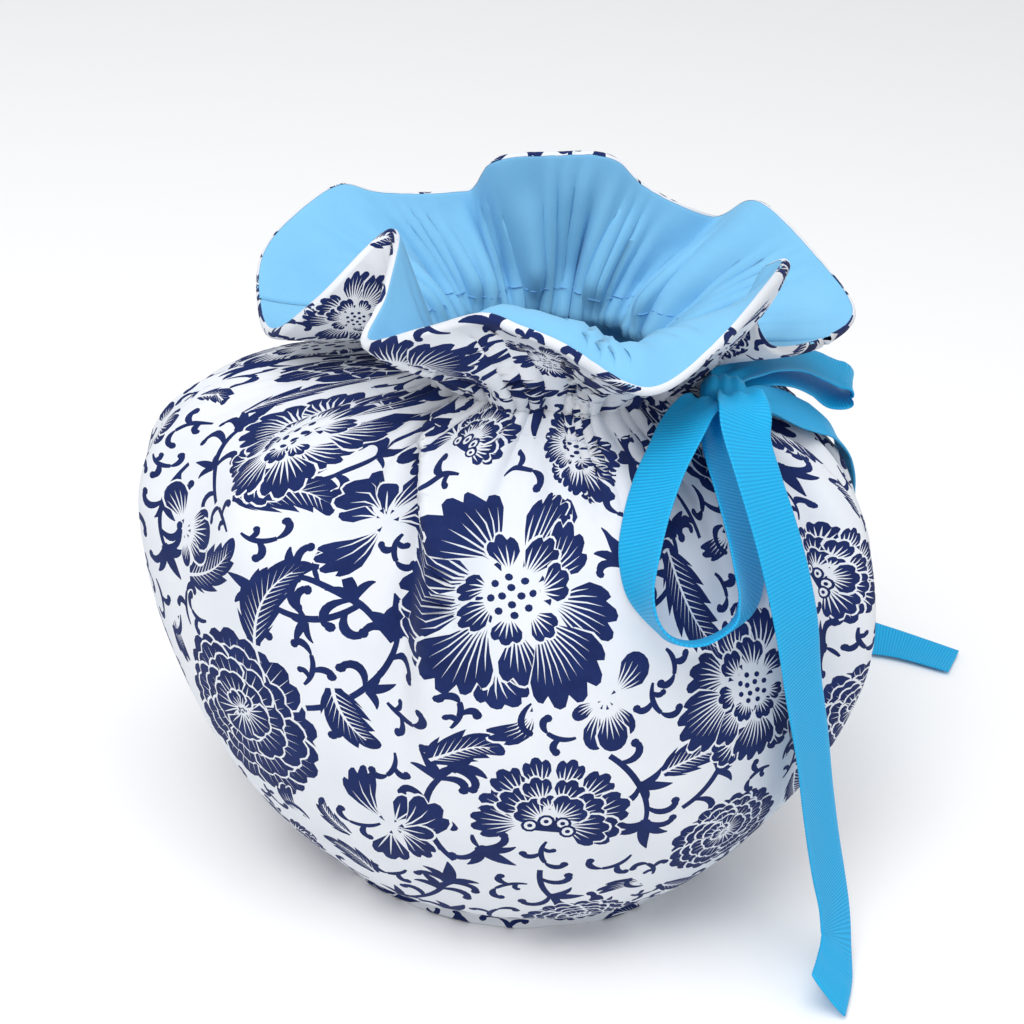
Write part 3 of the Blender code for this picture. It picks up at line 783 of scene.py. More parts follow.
def calyx_flower(pr, at, radius, turn=0.0, flip=1):
    """A flower seen from the side, above a cup of ringed beads."""
    petals(pr, at, CALYX_FLOWER, radius, turn, flip)
    pr.add(turned(CUP * radius * 1.12, turn, at), False)
    pr.add(turned(CUP * radius, turn, at), True)
    for x, y in ((-0.24, -0.06), (-0.04, 0.02), (0.17, -0.01), (0.24, -0.15)):
        spot = at + radius * turned([[x, y]], turn)[0]
        disc(pr, spot, radius * 0.115, True)
        disc(pr, spot, radius * 0.075, False)
        disc(pr, spot, radius * 0.035, True, 7)


def lily(pr, at, radius, turn=0.0, flip=1):
    petals(pr, at, LILY, radius, turn, flip)


def sprig(pr, at, radius, turn=0.0, flip=1):
    petals(pr, at, SPRIG, radius, turn, flip)


def feather(pr, at, heading, length, width, bend=0.0, teeth=5):
    """A leaf with cut edges, a pale rib, long slanting veins and a hooked tip."""
    steps = 6 * teeth
    s = np.linspace(0, 1, steps + 1)
    turn = bend * (1.1 * s - 0.35 + 0.9 * s**4)
    walk = np.stack([np.cos(turn[1:]), np.sin(turn[1:])], 1) * length / steps
    middle = np.vstack([[0, 0], np.cumsum(walk, axis=0)])
    side = np.stack([-np.sin(turn), np.cos(turn)], 1)
    ahead = np.stack([np.cos(turn), np.sin(turn)], 1)
    rise = (teeth * s) % 1.0
    full = width / 2 * np.sin(np.pi * np.clip(s, 0.03, 1) ** 0.62) ** 0.75
    half = full * (0.72 + 0.36 * rise**0.7)
    lean = ahead * (full * 0.55 * rise)[:, None]
    upper = middle + side * half[:, None] + lean
    lower = middle - side * (0.82 * half)[:, None] + lean
    pr.add(turned(np.vstack([upper, lower[::-1]]), heading, at), True)
    rib = side * np.linspace(0.42, 0.06, steps + 1)[:, None]
    cut = int(steps * 0.86)
    pr.add(turned(np.vstack([(middle + rib)[:cut], (middle - rib)[:cut][::-1]]), heading, at), False)
    for k in range(1, steps - 6, 2):
        for sign, wide in ((1, 0.66), (-1, 0.54)):
            far = k + 4
            tip = middle[far] + side[far] * sign * full[far] * wide + ahead[far] * full[far] * 0.2
            vein = np.array([middle[k] - ahead[k] * 0.10, middle[k] + ahead[k] * 0.42, tip])
            pr.add(turned(vein, heading, at), False)


def palmette(pr, at, heading, size, fingers=3):
    """Short fingers that fan out from the end of a stem."""
    stroke(pr, at, heading, size * 1.15, 0.5, size * 0.34, root=0.8, end=0.1, steps=8)
    for sign, far in ((1, 0.95), (-1, 0.9)):
        way = heading + sign * 0.35
        stroke(pr, at, way, size * far, sign * 1.3, size * 0.28, root=0.6, end=0.15, steps=8)
    if fingers > 3:
        for sign in (1, -1):
            comma(pr, at, heading + sign * 0.75, size * 0.95, sign * 2.3, size * 0.2)


def vine(pr, at, heading, length, bend, branches, side=1):
    """A stem with commas to both sides in turn, and a leafy end."""
    stem = {"coil": 0.2, "root": 0.9, "end": 0.8, "steps": 16}
    middle, turn = stroke(pr, at, heading, length, bend, VINE_WIDTH, **stem)
    for k in range(branches):
        spot = int(16 * (k + 0.5) / branches)
        way = side * (1 if k % 2 == 0 else -1)
        size = 9.4 + wobble(k + length, 1.6)
        comma(pr, middle[spot], turn[spot] + way * 0.5, size, way * (2.7 + wobble(k, 0.4)), 2.0)
        if k % 2 == 1:
            palmette(pr, middle[spot], turn[spot] - way * 0.75, 7.2 + wobble(k + bend, 0.8))
    palmette(pr, middle[-1], turn[-1], 9.5, 5)


def inside(points, polygon):
    """Whether each point is inside the polygon, by the crossings of a ray."""
    x, y = points[:, 0:1], points[:, 1:2]
    x0, y0 = polygon[:, 0], polygon[:, 1]
    x1, y1 = np.roll(x0, -1), np.roll(y0, -1)
    spans = (y0 <= y) != (y1 <= y)
    rise = np.where(y1 == y0, 1.0, y1 - y0)
    cut = x0 + (y - y0) * (x1 - x0) / rise
    return (np.sum(spans & (x < cut), axis=1) % 2) == 1


def ink_at(points, shapes):
    """Whether the topmost shape at each point is dark."""
    order = np.argsort(points[:, 0])
    by_u = points[order]
    ink = np.zeros(len(points), bool)
    for polygon, dark in shapes:
        low, high = polygon.min(axis=0), polygon.max(axis=0)
        first, last = np.searchsorted(by_u[:, 0], (low[0], high[0]))
        near = by_u[first:last]
        rows = np.nonzero((near[:, 1] >= low[1]) & (near[:, 1] <= high[1]))[0]
        if len(rows):
            ink[first + rows[inside(near[rows], polygon)]] = dark
    result = np.empty_like(ink)
    result[order] = ink
    return result


CELL = 1.1


def clearance(shapes):
    """How far each cell of the panel is from ink, up to a centimetre."""
    u = np.arange(-142, 142.1, CELL)
    v = np.arange(0, 220, CELL)
    uu, vv = np.meshgrid(u, v)
    cells = np.stack([uu.ravel(), vv.ravel()], 1)
    taken = ink_at(cells, shapes).reshape(uu.shape)
    clear = np.zeros(uu.shape)
    for ring in range(9):
        clear[~taken] = (ring + 1) * CELL
        grown = taken.copy()
        grown[1:] |= taken[:-1]
        grown[:-1] |= taken[1:]
        grown[:, 1:] |= taken[:, :-1]
        grown[:, :-1] |= taken[:, 1:]
        if ring % 2:
            grown[1:, 1:] |= taken[:-1, :-1]
            grown[:-1, :-1] |= taken[1:, 1:]
            grown[1:, :-1] |= taken[:-1, 1:]
            grown[:-1, 1:] |= taken[1:, :-1]
        taken = grown
    return cells, clear.ravel()


def fill_gaps(pr, need, draw):
    """Draws a small motif in each place that is this clear of the others."""
    cells, clear = clearance(pr.shapes)
    open_rows = np.nonzero(clear >= need)[0]
    order = np.argsort(-clear[open_rows] + 0.4 * np.sin(open_rows * 1.7))
    chosen = []
    for row in open_rows[order]:
        spot = cells[row]
        if all(np.sum((spot - other) ** 2) > (2 * need) ** 2 for other in chosen):
            chosen.append(spot)
    for number, spot in enumerate(chosen):
        draw(pr, spot, number, need)


def filling_leaf(pr, at, number, size):
    heading = 2.4 * number + 0.7
    way = 1 if number % 2 else -1
    start = at - 0.9 * size * np.array([math.cos(heading), math.sin(heading)])
    if number % 3 == 0:
        palmette(pr, start, heading, size * 1.25, 5)
        stroke(pr, start, heading + math.pi, size * 0.6, way * 0.7, 1.3)
    elif number % 3 == 1:
        feather(pr, start, heading, size * 1.9, size * 0.85, way * 0.8, 4)
    else:
        petal(pr, start, heading, size * 1.7, 0.40, 3, 5, bow=way * 1.0)
        comma(pr, start, heading + way * 1.1, size * 1.2, -way * 2.2, 1.6)


def filling_comma(pr, at, number, size):
    heading = 1.9 * number
    way = 1 if number % 2 else -1
    ahead = np.array([math.cos(heading), math.sin(heading)])
    start = at - 0.8 * size * ahead
    middle, turn = stroke(pr, start, heading - way * 0.5, size * 1.5, way * 1.1, 1.4, root=0.5, end=0.8)
    comma(pr, middle[-1], turn[-1], size, way * 2.3, 1.8)
    comma(pr, middle[6], turn[6] - way * 0.5, size * 0.95, -way * 2.4, 1.8)
    if number % 2:
        comma(pr, middle[3], turn[3] + way * 0.6, size * 0.6, way * 2.0, 1.4)


Motif = namedtuple("Motif", "kind u v size turn flip")
MOTIFS = table(Motif, [
    ("peony", -4, 122, 27, 0.05, 1),
    ("full_flower", -67, 73, 23, 0.3, 1),
    ("calyx_flower", 9, 64, 19, 0.0, 1),
    ("full_flower", 58, 50, 17, 0.9, 1),
    ("peony", -76, 150, 20, 2.5, -1),
    ("calyx_flower", -27, 160, 14, 0.1, 1),
    ("peony", 15, 160, 14, 2.2, -1),
    ("sprig", -95, 112, 14, 1.6, 1),
    ("peony", 61, 96, 21, 2.6, -1),
    ("calyx_flower", 97, 114, 16, -0.9, 1),
    ("full_flower", 108, 72, 17, 0.4, 1),
    ("peony", -114, 64, 19, 0.5, 1),
    ("peony", -46, 200, 23, 1.2, 1),
    ("full_flower", 74, 158, 17, 0.4, 1),
    ("peony", 118, 160, 17, 0.2, 1),
    ("full_flower", -122, 172, 18, 0.2, 1),
    ("peony", 50, 202, 17, 0.3, 1),
    ("full_flower", 106, 204, 15, 0.0, 1),
    ("peony", -98, 204, 16, 1.0, 1),
    ("peony", -62, 20, 18, 0.0, 1),
    ("full_flower", 20, 16, 15, 0.2, 1),
    ("peony", 5, 202, 14, 1.6, 1),
    ("lily", -27, 55, 17, 0.0, 1),
    ("lily", -37, 133, 17, 1.9, 1),
    ("sprig", 20, 99, 13.5, 0.0, 1),
    ("lily", 128, 118, 12, 0.6, 1),
    ("sprig", -128, 128, 12, 2.0, 1),
    ("lily", 128, 40, 12, 1.0, -1),
])
Leaf = namedtuple("Leaf", "u v heading length width bend teeth")
LEAVES = table(Leaf, [
    (-76, 131, 0.35, 28, 15, -0.8, 5),
    (-88, 103, 0.55, 27, 12, 0.6, 5),
    (-62, 96, 1.35, 28, 12, -0.7, 5),
    (-42, 91, -1.15, 19, 11, 0.8, 4),
    (37, 134, -1.2, 38, 14, 0.5, 6),
    (36, 78, 0.35, 17, 10, -0.4, 4),
    (86, 142, 2.4, 25, 12, 0.6, 5),
    (82, 62, -1.2, 25, 11, 0.5, 5),
    (-20, 186, -0.4, 27, 12, 0.6, 5),
    (22, 184, 0.3, 25, 11, -0.6, 5),
    (-104, 146, 1.6, 25, 11, 0.6, 5),
    (128, 138, 1.9, 22, 11, 0.6, 5),
    (42, 30, -0.6, 20, 10, 0.6, 4),
    (-32, 30, 2.4, 18, 10, 0.6, 4),
    (-130, 96, 1.2, 22, 11, -0.6, 5),
    (-18, 80, 0.5, 17, 10, -0.7, 4),
    (-98, 34, -0.4, 20, 10, 0.5, 4),
    (78, 184, 1.0, 20, 10, 0.5, 4),
    (-70, 178, 0.8, 20, 10, 0.5, 4),
])
Vine = namedtuple("Vine", "u v heading length bend branches side")
VINES = table(Vine, [
    (-12, 47, 2.3, 34, -1.5, 4, 1),
    (-48, 84, 0.3, 30, 1.2, 3, -1),
    (-38, 112, -2.4, 24, -1.3, 3, 1),
    (-30, 104, 2.2, 26, 1.0, 3, -1),
    (8, 46, -1.6, 26, 1.3, 3, 1),
    (-58, 140, 0.6, 22, 1.2, 3, -1),
    (28, 120, 0.3, 22, 1.4, 3, 1),
    (42, 66, 0.6, 26, 1.0, 3, -1),
    (22, 84, -0.6, 24, -1.1, 3, 1),
    (-88, 56, -1.3, 30, 0.9, 3, -1),
    (-84, 124, 2.8, 24, -1.2, 3, 1),
    (84, 112, 1.4, 24, 1.0, 3, -1),
    (82, 84, -0.2, 20, -1.1, 2, 1),
    (-104, 128, -2.0, 24, 1.2, 3, 1),
    (-98, 166, 1.4, 26, -1.2, 3, 1),
    (-56, 166, 1.3, 26, -1.3, 3, -1),
    (-6, 176, 2.6, 24, -0.9, 3, 1),
    (34, 168, 0.9, 26, -1.2, 3, 1),
    (50, 134, 1.6, 26, 1.0, 3, 1),
    (92, 182, 0.4, 30, 1.0, 3, 1),
    (-80, 188, 2.6, 24, 1.0, 3, 1),
    (84, 34, -0.9, 24, -1.2, 3, 1),
    (-38, 10, 0.4, 36, 0.9, 4, 1),
    (52, 22, 0.2, 26, 1.0, 3, 1),
    (-120, 92, 1.2, 26, 1.0, 3, 1),
    (116, 92, 1.2, 24, 1.0, 3, 1),
    (112, 50, -1.7, 26, -1.0, 3, 1),
    (-128, 36, 0.9, 26, -1.0, 3, 1),
])


def panel_print():
    pr = Print()
    for row in VINES:
        vine(pr, np.array([row.u, row.v]), row.heading, row.length, row.bend, row.branches, row.side)
    for row in LEAVES:
        feather(pr, (row.u, row.v), row.heading, row.length, row.width, row.bend, row.teeth)
    kinds = {
        "peony": peony,
        "full_flower": full_flower,
        "calyx_flower": calyx_flower,
        "lily": lily,
        "sprig": sprig,
    }
    for row in MOTIFS:
        kinds[row.kind](pr, np.array([row.u, row.v]), row.size, row.turn, row.flip)
    fill_gaps(pr, 7.7, filling_leaf)
    fill_gaps(pr, 5.8, filling_comma)
    fill_gaps(pr, 4.8, filling_comma)
    return pr.shapes


def shown_edges(shapes):
    """The edges of the shapes that part dark from pale where they show."""
    starts = np.vstack([points for points, _ in shapes])
    ends = np.vstack([np.roll(points, -1, axis=0) for points, _ in shapes])
    run = ends - starts
    length = np.linalg.norm(run, axis=1, keepdims=True)
    side = np.stack([-run[:, 1], run[:, 0]], 1) / np.maximum(length, 1e-6) * 0.01
    shown = np.zeros(len(starts), bool)
    for part in (0.12, 0.5, 0.88):
        at = starts + run * part
        shown |= ink_at(at + side, shapes) != ink_at(at - side, shapes)
    shown &= length[:, 0] > 1e-3
    return starts[shown], ends[shown]


def grid_points():
    """Points that carry the cloth's bends where the print has none."""
    groups = []
    for low, high, step_u, step_v in ((4, 148, 2.6, 2.3), (148, 190, 1.0, 1.6), (190, 217, 1.5, 2.0)):
        v = np.arange(low, high, step_v)
        u = np.arange(-141, 141, step_u)
        uu, vv = np.meshgrid(u, v)
        uu = uu + (np.arange(len(v)) % 2)[:, None] * step_u / 2
        groups.append(np.stack([uu.ravel(), vv.ravel()], 1))
    rows = np.asarray(FLAT_ROWS, float)
    u = np.arange(-141, 141, 1.5)
    hem_rows = np.array([-1.0, -0.6, 0.0, 0.7, 1.4, 2.4])
    rim_rows = RIM_V + np.array([0, 0.5, 1.0, 1.5, 2.0, 2.5, 3.0, 3.4])
    for v in np.concatenate([hem_rows, rim_rows]):
        groups.append(np.stack([u, np.full_like(u, v)], 1))
    v = np.arange(-1, RIM_V + 2.6, 1.6)
    half = np.interp(v, rows[:, 0], rows[:, 1]) / 2
    for inset in (3.6, 2.4, 1.2, 0.4, -0.4, -1.2, -1.8):
        groups.append(np.stack([half - inset, v], 1))
        groups.append(np.stack([inset - half, v], 1))
    points = np.vstack(groups)
    half = np.interp(points[:, 1], rows[:, 0], rows[:, 1]) / 2
    return points[np.abs(points[:, 0]) < half + SIDE_TURN - 0.1]


def join_points(starts, ends):
    """One list of points for edges that share them, with the edges as pairs of it."""
    both = np.vstack([starts, ends])
    _, first, index = np.unique(np.round(both * 200), axis=0, return_index=True, return_inverse=True)
    index = index.ravel()
    edges = np.sort(np.stack([index[: len(starts)], index[len(starts) :]], 1), axis=1)
    edges = np.unique(edges[edges[:, 0] != edges[:, 1]], axis=0)
    return both[first], edges


def printed_flat():
    """The flat panel in triangles that follow the print's edges, and which are dark."""
    shapes = panel_print()
    outline = panel_outline()
    starts, ends = shown_edges(shapes)
    starts = np.vstack([starts, outline])
    ends = np.vstack([ends, np.roll(outline, -1, axis=0)])
    points, edges = join_points(starts, ends)
    points = np.vstack([points, grid_points()])
    flat = [Vector(point) for point in points.tolist()]
    made = delaunay_2d_cdt(flat, edges.tolist(), [], 0, 1e-4, False)
    points = np.array([tuple(point) for point in made[0]])
    faces = np.array(made[2])
    centres = points[faces].mean(axis=1)
    kept = inside(centres, outline)
    faces, centres = faces[kept], centres[kept]
    ink = ink_at(centres, shapes)
    used, faces = np.unique(faces, return_inverse=True)
    faces = faces.reshape(-1, 3)
    print("flat print:", len(used), "points,", len(faces), "faces")
    return points[used], faces, ink


# Meshes


def quad_list(corners):
    """Four arrays of corners as a list of faces."""
    return np.stack(corners, axis=-1).reshape(-1, 4).tolist()


def mesh_object(name, points, faces, material, normals=None, flat=None, face_values=None):
    """A smooth mesh object in the model's frame, with an unwrapped layout for its cloth."""
    mesh = bpy.data.meshes.new(name)
    mesh.from_pydata(placed(points).tolist(), [], faces)
    mesh.materials.append(material)
    if flat is not None:
        loops = np.empty(len(mesh.loops), np.int32)
        mesh.loops.foreach_get("vertex_index", loops)
        layout = mesh.uv_layers.new(name="OFBake")
        layout.data.foreach_set("uv", np.asarray(flat, np.float32)[loops].ravel())
    if face_values is not None:
        ink = mesh.attributes.new("ink", "FLOAT", "FACE")
        ink.data.foreach_set("value", np.asarray(face_values, np.float32))
    mesh.shade_smooth()
    if normals is not None:
        mesh.normals_split_custom_set_from_vertices(normals.tolist())
    made = bpy.data.objects.new(name, mesh)
    bpy.context.scene.collection.objects.link(made)
    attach(made, "root")
    return made


FLAT_SCALE = 300.0


def flat_layout(flat):
    """Flat millimetres as a layout inside the unit square."""
    return flat / FLAT_SCALE + np.array([0.5, 0.02])


def printed_panel(name, first_share, cut, material):
    flat, faces, ink = cut
    points, normals = panel_points(flat, first_share)
    layout = flat_layout(flat)
    made = mesh_object(name, points, faces.tolist(), material, normals, layout, ink)
    return made


def lining_panel(name, first_share, material):
    """The plain panel inside, with its edges turned to meet the printed one's."""
    rows = np.asarray(FLAT_ROWS, float)
    v = np.concatenate([
        TURN - TURN * np.linspace(LINING_TURN, 0, 4),
        np.arange(4, 150, 2.5),
        np.arange(150, 196, 1.25),
        np.arange(196, RIM_V - 0.5, 1.8),
        RIM_V + TURN * np.linspace(0, LINING_TURN, 5),
    ])
    edge = np.array([0, 0.006, 0.012, 0.018, 0.026])
    across = np.concatenate([edge, np.linspace(0.034, 0.966, 300), 1 - edge[::-1]])
    half = np.interp(v, rows[:, 0], rows[:, 1]) / 2 + SIDE_TURN
    u = (2 * across[None, :] - 1) * half[:, None]
    flat = np.stack([u.ravel(), np.repeat(v, len(across))], 1)
    points, _ = panel_points(flat, first_share, outside=False, turn_end=LINING_TURN)
    corner = np.arange(len(flat)).reshape(len(v), len(across))
    quads = quad_list([corner[1:, :-1], corner[1:, 1:], corner[:-1, 1:], corner[:-1, :-1]])
    made = mesh_object(name, points, quads, material, flat=flat_layout(flat))
    return made


# The ribbon


def ribbon_frames(name):
    """Middle, unit side, width share and distance along a run, four rows to a rib."""
    fine = 60
    at = np.arange((len(RIBBON_RUNS[name]) - 1) * fine + 1) / fine
    curve = catmull_rom(RIBBON_RUNS[name], at)
    steps = np.linalg.norm(np.diff(curve[:, :3], axis=0), axis=1)
    length = np.concatenate([[0], np.cumsum(steps)])
    ribs = int(round(length[-1] / RIB_PITCH))
    even = np.linspace(0, length[-1], ribs * 4 + 1)
    curve = np.stack([np.interp(even, length, curve[:, k]) for k in range(6)], axis=1)
    middle, across = curve[:, :3], curve[:, 3:]
    along = unit(np.gradient(middle, axis=0))
    across = unit(across - along * np.sum(across * along, axis=1, keepdims=True))
    from_knot = even if name.startswith("tail") else np.minimum(even, even[-1] - even)
    width = PINCH + (1 - PINCH) * smooth_step(0, PINCH_REACH, from_knot)
    return middle, across, np.cross(along, across), width, even


def ribbon_run(name, material):
    middle, across, normal, width, even = ribbon_frames(name)
    t = np.array([-1, -0.965, -0.9, -0.72, -0.48, -0.24, 0, 0.24, 0.48, 0.72, 0.9, 0.965, 1])
    rib = 0.5 + 0.5 * np.cos(TAU * even / RIB_PITCH)
    selvedge = smooth_step(0.87, 0.93, np.abs(t))
    edge = np.clip((np.abs(t) - 0.93) / 0.075, 0, 1)
    body = RIBBON_HALF_THICK * np.sqrt(np.clip(1 - edge**2, 0, 1))
    lift = body[None, :] + RIB_HEIGHT * rib[:, None] * (1 - selvedge[None, :])
    scallop = 1 + 0.012 * rib[:, None] * (np.abs(t) > 0.95)[None, :]
    # Where the knot draws it in, the ribbon buckles across its width
    buckle = 2.2 * (1 - width)[:, None] * np.cos(2.2 * np.pi * t + 0.6)[None, :]
    cup = 0.35 * (t * t - 0.33)[None, :]
    side = (RIBBON_WIDTH / 2) * width[:, None] * t[None, :] * scallop
    base = middle[:, None] + side[..., None] * across[:, None]
    base = base + (buckle + cup)[..., None] * normal[:, None]
    upper = base + lift[..., None] * normal[:, None]
    lower = base - lift[..., None] * normal[:, None]
    loop = np.concatenate([upper, lower[:, ::-1][:, 1:-1]], axis=1)
    rows, columns = loop.shape[:2]
    corner = np.arange(rows * columns).reshape(rows, columns)
    beside = np.roll(corner, -1, axis=1)
    faces = quad_list([corner[:-1], corner[1:], beside[1:], beside[:-1]])
    faces += [corner[0].tolist(), corner[-1][::-1].tolist()]
    flat_u = np.concatenate([t, t[::-1][1:-1]]) * RIBBON_WIDTH / 2
    flat_u = np.where(np.arange(columns) < len(t), flat_u + 10, flat_u + 30)
    flat = np.stack([np.tile(flat_u, rows), np.repeat(even, columns)], 1)
    layout = flat / FLAT_SCALE + 0.01
    made = mesh_object("ribbon_" + name, loop.reshape(-1, 3), faces, material, flat=layout)
    return made, float(even[-1])


def ribbon_knot(material):
    """The knot: the ribbon's band drawn tight round the bow's middle."""
    rows, columns = 97, 13
    a = np.linspace(0, TAU, rows)[:-1]
    t = np.linspace(-1, 1, columns)
    centre = np.array([43.3, -18.3, 143.2])
    round_y, round_z = 4.9 * np.cos(a), 4.4 * np.sin(a)
    bulge = 0.5 * np.cos(3.1 * np.pi * t + 0.4) + 0.9 * (1 - t * t)
    reach = 1 + (bulge[None, :] - 0.4) / 5.0
    x = 5.2 * t[None, :] * (1 + 0.10 * np.cos(2 * a + 0.5)[:, None])
    y = round_y[:, None] * reach
    z = round_z[:, None] * reach
    outer = np.stack([np.broadcast_to(x, y.shape), y, z], axis=-1) + centre
    inner_scale = np.array([0.93, 0.80, 0.80])
    inner = (outer - centre) * inner_scale + centre
    loop = np.concatenate([outer, inner[:, ::-1]], axis=1)
    rows, columns = loop.shape[:2]
    corner = np.arange(rows * columns).reshape(rows, columns)
    down = np.roll(corner, -1, axis=0)
    beside, both = np.roll(corner, -1, axis=1), np.roll(down, -1, axis=1)
    quads = quad_list([corner, down, both, beside])
    flat_u = np.tile(np.arange(columns) * 0.9, rows)
    flat_v = np.repeat(np.arange(rows) * 0.33, columns)
    layout = np.stack([flat_u, flat_v], 1) / 60 + 0.01
    made = mesh_object("ribbon_knot_band", loop.reshape(-1, 3), quads, material, flat=layout)
    return made


# Stitches


STITCH_LONG = 2.1
STITCH_THICK = 0.42
STITCH_PITCH = 3.0


def stitch_row(name, flats, first_share, outside, material):
    """A running row of short threads that lie on the cloth along a flat line."""
    steps = np.linalg.norm(np.diff(flats, axis=0), axis=1)
    length = np.concatenate([[0], np.cumsum(steps)])
    count = int(length[-1] / STITCH_PITCH)
    starts = (np.arange(count) + 0.2) * STITCH_PITCH
    s = np.linspace(0, 1, 5)
    at = starts[:, None] + s[None, :] * STITCH_LONG
    flat = np.stack([np.interp(at.ravel(), length, flats[:, k]) for k in range(2)], 1)
    points, normals = panel_points(flat, first_share, outside=outside)
    points, normals = points.reshape(count, 5, 3), normals.reshape(count, 5, 3)
    along = unit(np.gradient(points, axis=1))
    side = unit(np.cross(normals, along))
    hump = np.sin(np.pi * s)[None, :, None]
    radius = STITCH_THICK / 2 * (0.55 + 0.45 * hump)
    a = np.arange(6) * TAU / 6
    centre = points + normals * (0.12 * hump - 0.05)
    cos_a, sin_a = np.cos(a)[None, None, :, None], np.sin(a)[None, None, :, None]
    way = cos_a * side[:, :, None] + sin_a * normals[:, :, None]
    ringed = centre[:, :, None] + radius[:, :, None] * way
    vertices = ringed.reshape(-1, 3)
    corner = np.arange(count * 5 * 6).reshape(count, 5, 6)
    beside = np.roll(corner, -1, axis=2)
    quads = quad_list([corner[:, :-1], beside[:, :-1], beside[:, 1:], corner[:, 1:]])
    return mesh_object(name, vertices, quads, material)


# Materials: a slow noise mixes each pair of colours

CLOTH_WHITES = ((0.73, 0.75, 0.79, 1), (0.67, 0.70, 0.75, 1))
INK_BLUES = ((0.004, 0.012, 0.075, 1), (0.007, 0.019, 0.105, 1))
INK_THREAD = (0.25, 0.32, 0.54, 1)
LINING_BLUES = ((0.205, 0.510, 0.760, 1), (0.175, 0.465, 0.725, 1))
LINING_THREAD = (0.34, 0.60, 0.84, 1)
RIBBON_BLUES = ((0.006, 0.390, 0.750, 1), (0.014, 0.460, 0.810, 1))
# Painted shade: a darker blue laid into the grooves between the ribbon's ribs
RIBBON_GROOVE_PAINTED_SHADE = (0.003, 0.235, 0.500, 1)
THREAD_RELIEF = 0.00008


class Nodes:
    """A short way to add nodes to a material and join them."""

    def __init__(self, material):
        self.tree = material.node_tree
        self.shader = self.tree.nodes["Principled BSDF"]

    def add(self, kind, inputs=None, **settings):
        node = self.tree.nodes.new(kind)
        for key, value in settings.items():
            setattr(node, key, value)
        for key, value in (inputs or {}).items():
            self.feed(node.inputs[key], value)
        return node

    def join(self, source, target):
        self.tree.links.new(source, target)

    def feed(self, socket, value):
        """A number or colour becomes the socket's own value, and an output is linked."""
        if isinstance(value, (int, float, tuple)):
            socket.default_value = value
        else:
            self.join(value, socket)

    def math(self, operation, first, second=None):
        node = self.add("ShaderNodeMath", operation=operation)
        for socket, value in zip(node.inputs, (first, second)):
            if value is not None:
                self.feed(socket, value)
        return node.outputs[0]

    def mix(self, amount, first, second):
        node = self.add("ShaderNodeMix", data_type="RGBA")
        for number, value in ((0, amount), (6, first), (7, second)):
            self.feed(node.inputs[number], value)
        return node.outputs[2]


def new_material(name, roughness, sheen=0.0, sheen_roughness=0.5):
    made = bpy.data.materials.new(name)
    made.use_nodes = True
    nodes = Nodes(made)
    nodes.shader.inputs["Roughness"].default_value = roughness
    nodes.shader.inputs["Sheen Weight"].default_value = sheen
    nodes.shader.inputs["Sheen Roughness"].default_value = sheen_roughness
    nodes.shader.inputs["Specular IOR Level"].default_value = 0.12
    return made, nodes


def flat_coordinates(nodes, scale):
    """The cloth's own layout in millimetres, divided by a pitch."""
    layout = nodes.add("ShaderNodeUVMap", uv_map="OFBake").outputs[0]
    mapping = nodes.add("ShaderNodeMapping", {"Vector": layout, "Scale": (scale,) * 3})
    return mapping.outputs[0]


def weave_height(nodes, coordinates):
    """A plain weave's height: threads over and under each other, a little uneven."""
    noise = nodes.add("ShaderNodeTexNoise", {"Vector": coordinates, "Scale": 0.35, "Detail": 2})
    waves = []
    for way in ("X", "Y"):
        inputs = {"Vector": coordinates, "Scale": 0.5, "Distortion": 0.3}
        wave = nodes.add("ShaderNodeTexWave", inputs, wave_type="BANDS", bands_direction=way)
        waves.append(wave.outputs["Fac"])
    height = nodes.math("MULTIPLY", waves[0], waves[1])
    grain = nodes.math("MULTIPLY", noise.outputs["Fac"], 0.9)
    return nodes.math("ADD", height, grain)


def add_bump(nodes, height, strength):
    inputs = {"Height": height, "Strength": strength, "Distance": THREAD_RELIEF}
    bump = nodes.add("ShaderNodeBump", inputs)
    nodes.join(bump.outputs["Normal"], nodes.shader.inputs["Normal"])


def slow_noise(nodes, coordinates, scale):
    noise = nodes.add("ShaderNodeTexNoise", {"Vector": coordinates, "Scale": scale, "Detail": 3})
    inputs = {"Value": noise.outputs["Fac"], "From Min": 0.3, "From Max": 0.7}
    return nodes.add("ShaderNodeMapRange", inputs).outputs["Result"]


def printed_cotton():
    made, nodes = new_material("printed_cotton_cloth", 0.9, 0.04, 0.5)
    threads = flat_coordinates(nodes, FLAT_SCALE / 0.45)
    wide = flat_coordinates(nodes, FLAT_SCALE / 10)
    weave = weave_height(nodes, threads)
    ink = nodes.add("ShaderNodeAttribute", attribute_name="ink")
    cloth = nodes.mix(slow_noise(nodes, wide, 0.4), *CLOTH_WHITES)
    dye = nodes.mix(slow_noise(nodes, wide, 1.4), *INK_BLUES)
    dye = nodes.mix(nodes.math("MULTIPLY", weave, 0.03), dye, INK_THREAD)
    nodes.join(nodes.mix(ink.outputs["Fac"], cloth, dye), nodes.shader.inputs["Base Color"])
    add_bump(nodes, weave, 0.35)
    return made


def plain_cotton():
    made, nodes = new_material("plain_cotton_cloth", 0.85, 0.12, 0.4)
    threads = flat_coordinates(nodes, FLAT_SCALE / 0.4)
    wide = flat_coordinates(nodes, FLAT_SCALE / 10)
    weave = weave_height(nodes, threads)
    colour = nodes.mix(slow_noise(nodes, wide, 0.5), *LINING_BLUES)
    colour = nodes.mix(nodes.math("MULTIPLY", weave, 0.12), colour, LINING_THREAD)
    nodes.join(colour, nodes.shader.inputs["Base Color"])
    add_bump(nodes, weave, 0.4)
    return made


